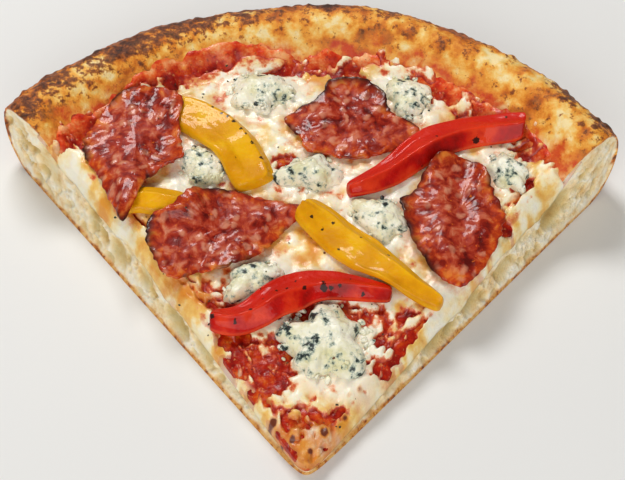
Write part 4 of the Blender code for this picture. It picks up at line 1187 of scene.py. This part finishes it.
def pepperoniMaterial():
    # cured sausage, sliced and baked: dark red ground meat, soft pink-grey fat whose pale patches are also a painted
    # pinkish sheen, orange paprika fat towards the edge, a thin burnt rim, and a film of oil that gives bright broken
    # reflections
    material, tree = startMaterial("bakedPepperoni", "8A2A18", 0.32)
    place = add(tree, "TexCoord", out="Object")
    crisp, fat, rim = (add(tree, "Attribute", out="Fac", attribute_name=name) for name in ("crisp", "fat", "rim"))
    broad = add(tree, "TexNoise", {"Vector": place, "Scale": perMm(9), "Detail": 4, "Roughness": 0.6})
    mince = add(tree, "TexNoise", {"Vector": place, "Scale": perMm(3.4), "Detail": 4, "Roughness": 0.58, "Distortion": 0.5})
    fine = add(tree, "TexNoise", {"Vector": place, "Scale": perMm(1.0), "Detail": 3, "Roughness": 0.6})
    deep = add(tree, "MapRange", {"Value": broad, "From Min": 0.40, "From Max": 0.60})
    lean = add(tree, "ValToRGB", {"Fac": mince}, stops=(
        (0.36, "5A0A04"), (0.46, "841608"), (0.55, "A42C14"), (0.66, "BE5236"),
    ))
    rosy = add(tree, "ValToRGB", {"Fac": mince}, stops=(
        (0.36, "86160A"), (0.46, "AA2C14"), (0.55, "C05030"), (0.66, "D4805E"),
    ))
    meat = add(tree, "Mix", {0: deep, 6: lean, 7: rosy}, 2, data_type="RGBA")
    amber = add(tree, "Math", {0: rim, 1: broad}, operation="MULTIPLY")
    amber = add(tree, "MapRange", {"Value": amber, "From Min": 0.15, "From Max": 0.5, "To Max": 0.85})
    orange = add(tree, "ValToRGB", {"Fac": mince}, stops=((0.38, "98200A"), (0.52, "C8440C"), (0.64, "E07A1C")))
    colour = add(tree, "Mix", {0: amber, 6: meat, 7: orange}, 2, data_type="RGBA")
    # pale pink patches: partly real fat, partly a painted pinkish sheen
    pale = add(tree, "Math", {0: fat, 1: mince}, operation="MULTIPLY")
    pale = add(tree, "MapRange", {"Value": pale, "From Min": 0.1, "From Max": 0.5, "To Max": 0.7})
    colour = add(tree, "Mix", {0: pale, 6: colour, 7: "D89070"}, 2, data_type="RGBA")
    flecks = add(tree, "MapRange", {"Value": fine, "From Min": 0.64, "From Max": 0.70, "To Max": 0.8})
    colour = add(tree, "Mix", {0: flecks, 6: colour, 7: "DE6A1E"}, 2, data_type="RGBA")
    colour = add(tree, "Mix", {0: crisp, 6: colour, 7: "2C0C08"}, 2, data_type="RGBA")
    height = add(tree, "Math", {0: fine, 1: 0.25, 2: mince}, operation="MULTIPLY_ADD")
    bump = add(tree, "Bump", {"Strength": 0.55, "Distance": 0.0007, "Height": height})
    gloss = add(tree, "MapRange", {"Value": broad, "From Min": 0.38, "From Max": 0.62, "To Min": 0.22, "To Max": 0.48})
    endMaterial(tree, add(tree, "BsdfPrincipled", {
        "Base Color": colour, "Roughness": gloss, "Normal": bump, "IOR": 1.42, "Specular IOR Level": 0.22,
        "Subsurface Weight": 0.06, "Subsurface Radius": (1.0, 0.2, 0.1), "Subsurface Scale": 0.001,
        "Coat Weight": 0.3, "Coat Roughness": 0.07,
    }))
    return material


def pepperMaterial(name, skin, deep, bright, flesh, underFace):
    # roasted sweet pepper: waxy skin on one side of the ridge, softer flesh on the other, charred specks along
    # the ridge, a painted highlight of the bright colour along the ridge, paler cut edges; a clear, wet gloss
    material, tree = startMaterial(name, skin, 0.22)
    place = add(tree, "TexCoord", out="Object")
    edge, char, face, ridge = (
        add(tree, "Attribute", out="Fac", attribute_name=label) for label in ("edge", "char", "face", "ridge")
    )
    broad = add(tree, "TexNoise", {"Vector": place, "Scale": perMm(9), "Detail": 3, "Roughness": 0.55})
    fine = add(tree, "TexNoise", {"Vector": place, "Scale": perMm(1.3), "Detail": 4, "Roughness": 0.65})
    colour = add(tree, "ValToRGB", {"Fac": broad}, stops=((0.34, deep), (0.5, skin), (0.66, bright)))
    turned = add(tree, "Math", {0: face, 1: 0.75}, operation="MULTIPLY")
    colour = add(tree, "Mix", {0: turned, 6: colour, 7: underFace}, 2, data_type="RGBA")
    # painted highlight: the bright colour laid along the ridge, where light would catch it
    paintedRidgeHighlight = add(tree, "Math", {0: ridge, 1: 0.35}, operation="MULTIPLY")
    colour = add(tree, "Mix", {0: paintedRidgeHighlight, 6: colour, 7: bright}, 2, data_type="RGBA")
    cut = add(tree, "Math", {0: edge, 1: 0.45}, operation="MULTIPLY")
    colour = add(tree, "Mix", {0: cut, 6: colour, 7: flesh}, 2, data_type="RGBA")
    burnt = add(tree, "Math", {0: char, 1: 0.42, 2: fine}, operation="MULTIPLY_ADD")
    burnt = add(tree, "MapRange", {"Value": burnt, "From Min": 0.76, "From Max": 0.80, "To Max": 0.95})
    colour = add(tree, "Mix", {0: burnt, 6: colour, 7: "1E0D08"}, 2, data_type="RGBA")
    bump = add(tree, "Bump", {"Strength": 0.6, "Distance": 0.0005, "Height": fine})
    endMaterial(tree, add(tree, "BsdfPrincipled", {
        "Base Color": colour, "Roughness": 0.36, "Normal": bump, "IOR": 1.42, "Specular IOR Level": 0.12,
        "Subsurface Weight": 0.12, "Subsurface Radius": (1.0, 0.4, 0.1), "Subsurface Scale": 0.0015,
        "Coat Weight": 0.22, "Coat Roughness": 0.04,
    }))
    return material


def blueCheeseMaterial():
    # crumbled blue cheese, half melted: damp ivory with a green cast, and soft blue-grey patches of mould with
    # near-black hearts
    material, tree = startMaterial("blueCheese", "E9E6CC", 0.45)
    place = add(tree, "TexCoord", out="Object")
    crease = add(tree, "Attribute", out="Fac", attribute_name="crease")
    broad = add(tree, "TexNoise", {"Vector": place, "Scale": perMm(7), "Detail": 4, "Roughness": 0.6})
    vein = add(tree, "TexNoise", {"Vector": place, "Scale": perMm(4.2), "Detail": 5, "Roughness": 0.65})
    fine = add(tree, "TexNoise", {"Vector": place, "Scale": perMm(1.9), "Detail": 3, "Roughness": 0.55})
    body = add(tree, "ValToRGB", {"Fac": broad}, stops=((0.36, "FBF7E4"), (0.5, "F3EED2"), (0.64, "E2DCAE")))
    # mould: where a vein passes, deepest in the creases between curds
    mould = add(tree, "Math", {0: crease, 1: 0.12, 2: vein}, operation="MULTIPLY_ADD")
    mould = add(tree, "Math", {0: fine, 1: 0.7, 2: mould}, operation="MULTIPLY_ADD")
    halo = add(tree, "MapRange", {"Value": mould, "From Min": 0.92, "From Max": 1.02, "To Max": 0.7})
    colour = add(tree, "Mix", {0: halo, 6: body, 7: "93A698"}, 2, data_type="RGBA")
    dark = add(tree, "MapRange", {"Value": mould, "From Min": 1.0, "From Max": 1.08})
    ink = add(tree, "ValToRGB", {"Fac": dark}, stops=((0.0, "7A9088"), (0.5, "3E554E"), (1.0, "1E2A28")))
    colour = add(tree, "Mix", {0: dark, 6: colour, 7: ink}, 2, data_type="RGBA")
    bump = add(tree, "Bump", {"Strength": 0.6, "Distance": 0.0005, "Height": fine})
    endMaterial(tree, add(tree, "BsdfPrincipled", {
        "Base Color": colour, "Roughness": 0.42, "Normal": bump, "IOR": 1.45,
        "Subsurface Weight": 0.2, "Subsurface Radius": (1.0, 0.9, 0.6), "Subsurface Scale": 0.001,
        "Coat Weight": 0.12, "Coat Roughness": 0.2,
    }))
    return material


def herbMaterial():
    # dried oregano and crushed pepper, baked on: matt, near-black green and brown
    material, tree = startMaterial("driedHerb", "2E2A18", 0.7)
    place = add(tree, "TexCoord", out="Object")
    broad = add(tree, "TexNoise", {"Vector": place, "Scale": perMm(14), "Detail": 3, "Roughness": 0.6})
    colour = add(tree, "ValToRGB", {"Fac": broad}, stops=((0.4, "2A3018"), (0.5, "3A2A14"), (0.6, "6A3A16")))
    endMaterial(tree, add(tree, "BsdfPrincipled", {"Base Color": colour, "Roughness": 0.65, "IOR": 1.45}))
    return material


def floorMaterial():
    # matt painted board: white with the faintest unevenness, so that it shows soft shadows and nothing else
    material, tree = startMaterial("paintedBoard", "F2F1EE", 0.85)
    place = add(tree, "TexCoord", out="Object")
    broad = add(tree, "TexNoise", {"Vector": place, "Scale": perMm(180), "Detail": 2, "Roughness": 0.5})
    colour = add(tree, "ValToRGB", {"Fac": broad}, stops=((0.3, "EFEEEB"), (0.7, "EBEAE7")))
    endMaterial(tree, add(tree, "BsdfPrincipled", {"Base Color": colour, "Roughness": 0.85, "IOR": 1.45}))
    return material


makeDough(doughMaterial())

def sauceValues(points):
    # 1 where the sauce thins out on the rim
    x, y, z = points.T
    return {"thin": smoothStep(7.0, 1.5, sauceInset(x, y) - sauce["rimInset"] + 3.0 * roughNoise(x, y, z, 5, 3, 127))}


makeLayer(
    "tomatoSauce", sauceMaterial(), "tomato_sauce", sauce["rimInset"] - 8.0, 230, 340, 0.988, sauceTop, sauceFoot,
    0.15, sauceValues,
)

pepperoniEdges = np.concatenate([
    alongCurve(np.array(outline), np.linspace(0, len(outline), 60)[:-1], True)[:, :2]
    for outline, folds in pepperoniPlaces.values()
])
# where the cheese has toasted: x, y, reach and strength
toastPlaces = (
    (60.5, 82.5, 4.5, 0.85), (0, 4, 7, 0.7), (-10, 13, 1.5, 1.5), (-4, 9, 1.3, 1.4), (5, 11, 1.6, 1.5), (1, 6, 1.2, 1.3),
    (-1, 17, 1.2, 1.2), (11, 15, 1.3, 1.2), (-14, 22, 1.2, 1.1), (8, 8.5, 1.0, 1.2), (-7, 8, 1.1, 1.3), (15, 22, 1.2, 1.0),
    (-56, 62, 2.6, 0.5), (-37, 46, 4, 0.6), (-30, 44.5, 4, 0.55), (12, 128, 4, 0.3), (28, 92, 3, 0.3), (-44, 50, 2.4, 0.4),
    (-26, 36, 3, 0.5), (58, 68, 3, 0.3), (-12, 18, 2.0, 0.8), (10, 5, 3, 0.7), (14, 14, 2.0, 0.5),
)


def cheeseValues(points):
    # the cheese's depth over the sauce, how near fat has run from the pepperoni, and where it has toasted
    x, y, z = points.T
    nearest = np.full(len(points), 999.0)
    for px, py in pepperoniEdges:
        nearest = np.minimum(nearest, (x - px) ** 2 + (y - py) ** 2)
    side = smoothStep(2.6, 0.6, cutDistance(x, y) + 1.2 * roughNoise(x, y, z, 4, 3, 131))
    oil = smoothStep(6, 0.5, np.sqrt(nearest)) * 0.8
    oil = np.maximum(oil, 1.1 * smoothStep(1.4, 0.5, zoneReach(x, y, (-34, 48, 12, 4.5, -25))))
    oil = np.maximum(oil, 1.15 * smoothStep(1.5, 0.7, zoneReach(x, y, (0, 7, 10, 9, 0))))
    toast = np.zeros(len(points))
    for cx, cy, reach, strength in toastPlaces:
        toast = np.maximum(toast, strength * np.exp(-((x - cx) ** 2 + (y - cy) ** 2) / reach**2))
    white = smoothStep(1.5, 0.7, zoneReach(x, y, (9, 27, 11, 7, -20)))
    for (cx, cy), wide, long, turn, rise in bluePlaces.values():
        around = zoneReach(x, y, (cx, cy, wide, long, turn)) + 0.5 * roughNoise(x, y, 0, 5, 3, 133)
        white = np.maximum(white, smoothStep(1.9, 1.2, around))
    bubbles, owner, _ = cellNoise(x, y, 0, 5.5, 26)
    toast = np.maximum(toast, 0.55 * smoothStep(0.42, 0.05, bubbles) * (owner > 0.85))
    film = cheeseTop(x, y) - sauceTop(x, y)
    dip = np.clip(-2.2 * curdling(x, y), -1, 1)
    return {"film": film, "oil": oil, "toast": toast, "side": side, "white": white, "dip": dip}


makeLayer(
    "mozzarellaLayer", mozzarellaMaterial(), "mozzarella", cheese["rimInset"] - 4, 240, 360, 1.0, cheeseTop,
    cheeseFoot, 0.15, cheeseValues,
)

blue = blueCheeseMaterial()
meat = pepperoniMaterial()
peppers = {
    "yellow_pepper": pepperMaterial("roastedYellowPepper", "E69E02", "D88E02", "F2B408", "F2BC2A", "EAA806"),
    "red_pepper": pepperMaterial("roastedRedPepper", "C60E04", "940802", "EA3E16", "E85C30", "D62008"),
}
layingOrder = (
    "blue_cheese_back_left", "blue_cheese_back_right", "blue_cheese_left", "blue_cheese_middle", "blue_cheese_right",
    "blue_cheese_front_left", "blue_cheese_front", "yellow_pepper_short", "yellow_pepper_left",
    "pepperoni_front_left", "pepperoni_left", "red_pepper_front", "yellow_pepper_long", "pepperoni_back",
    "red_pepper_back", "pepperoni_right", "blue_cheese_centre",
)
herb = herbMaterial()
for name in layingOrder:
    if name == "yellow_pepper_short":
        makeCrumbs(blue)
        makeFlakes("herbFlakes", herb, 60, 0.32, 221)
    if name in bluePlaces:
        makeBlueCheese(name, blue)
    elif name in pepperLines:
        makePepper(name, peppers[name.rsplit("_", 1)[0]])
    else:
        makePepperoni(name, meat)
makeFlakes("pepperFlakes", herb, 14, 0.3, 231)

# floor, lights and camera
floorMesh = bpy.data.meshes.new("floor")
floorMesh.from_pydata([(-4, -4, 0), (4, -4, 0), (4, 4, 0), (-4, 4, 0)], [], [(0, 1, 2, 3)])
floorMesh.materials.append(floorMaterial())
floor = bpy.data.objects.new("floor", floorMesh)
bpy.context.scene.collection.objects.link(floor)

studio = {
    # place, what it points at, width, height, watts
    "backSoftbox": ((-0.20, 0.48, 0.75), (0, 0, 0.01), 0.34, 0.26, 5.0),
    "frontFill": ((-0.05, -0.85, 0.50), (0, 0, 0.01), 1.1, 0.6, 6.4),
}
for name, (place, target, width, height, watts) in studio.items():
    lamp = bpy.data.lights.new(name, "AREA")
    lamp.shape = "RECTANGLE"
    lamp.size, lamp.size_y, lamp.energy = width, height, watts
    light = bpy.data.objects.new(name, lamp)
    light.location = place
    light.rotation_euler = (Vector(target) - Vector(place)).to_track_quat("-Z", "Y").to_euler()
    bpy.context.scene.collection.objects.link(light)

world = bpy.data.worlds.new("paleRoom")
world.use_nodes = True
world.node_tree.nodes["Background"].inputs["Color"].default_value = toLinear("F4F3F0")
world.node_tree.nodes["Background"].inputs["Strength"].default_value = 0.22
bpy.context.scene.world = world

lens = bpy.data.cameras.new("camera")
lens.sensor_width, lens.lens = 36, 75.33
lens.shift_x, lens.shift_y = 0.01106, -0.02886
camera = bpy.data.objects.new("camera", lens)
eye = (np.array([5.147, -164.179, 301.097]) + toFrame) * 0.001
aim = (np.array([-2.507, 79.961, 10.0]) + toFrame) * 0.001
camera.location = eye
camera.rotation_euler = (Vector(aim) - Vector(eye)).to_track_quat("-Z", "Y").to_euler()
bpy.context.scene.collection.objects.link(camera)
bpy.context.scene.camera = camera
bpy.context.scene.view_settings.view_transform = "Standard"
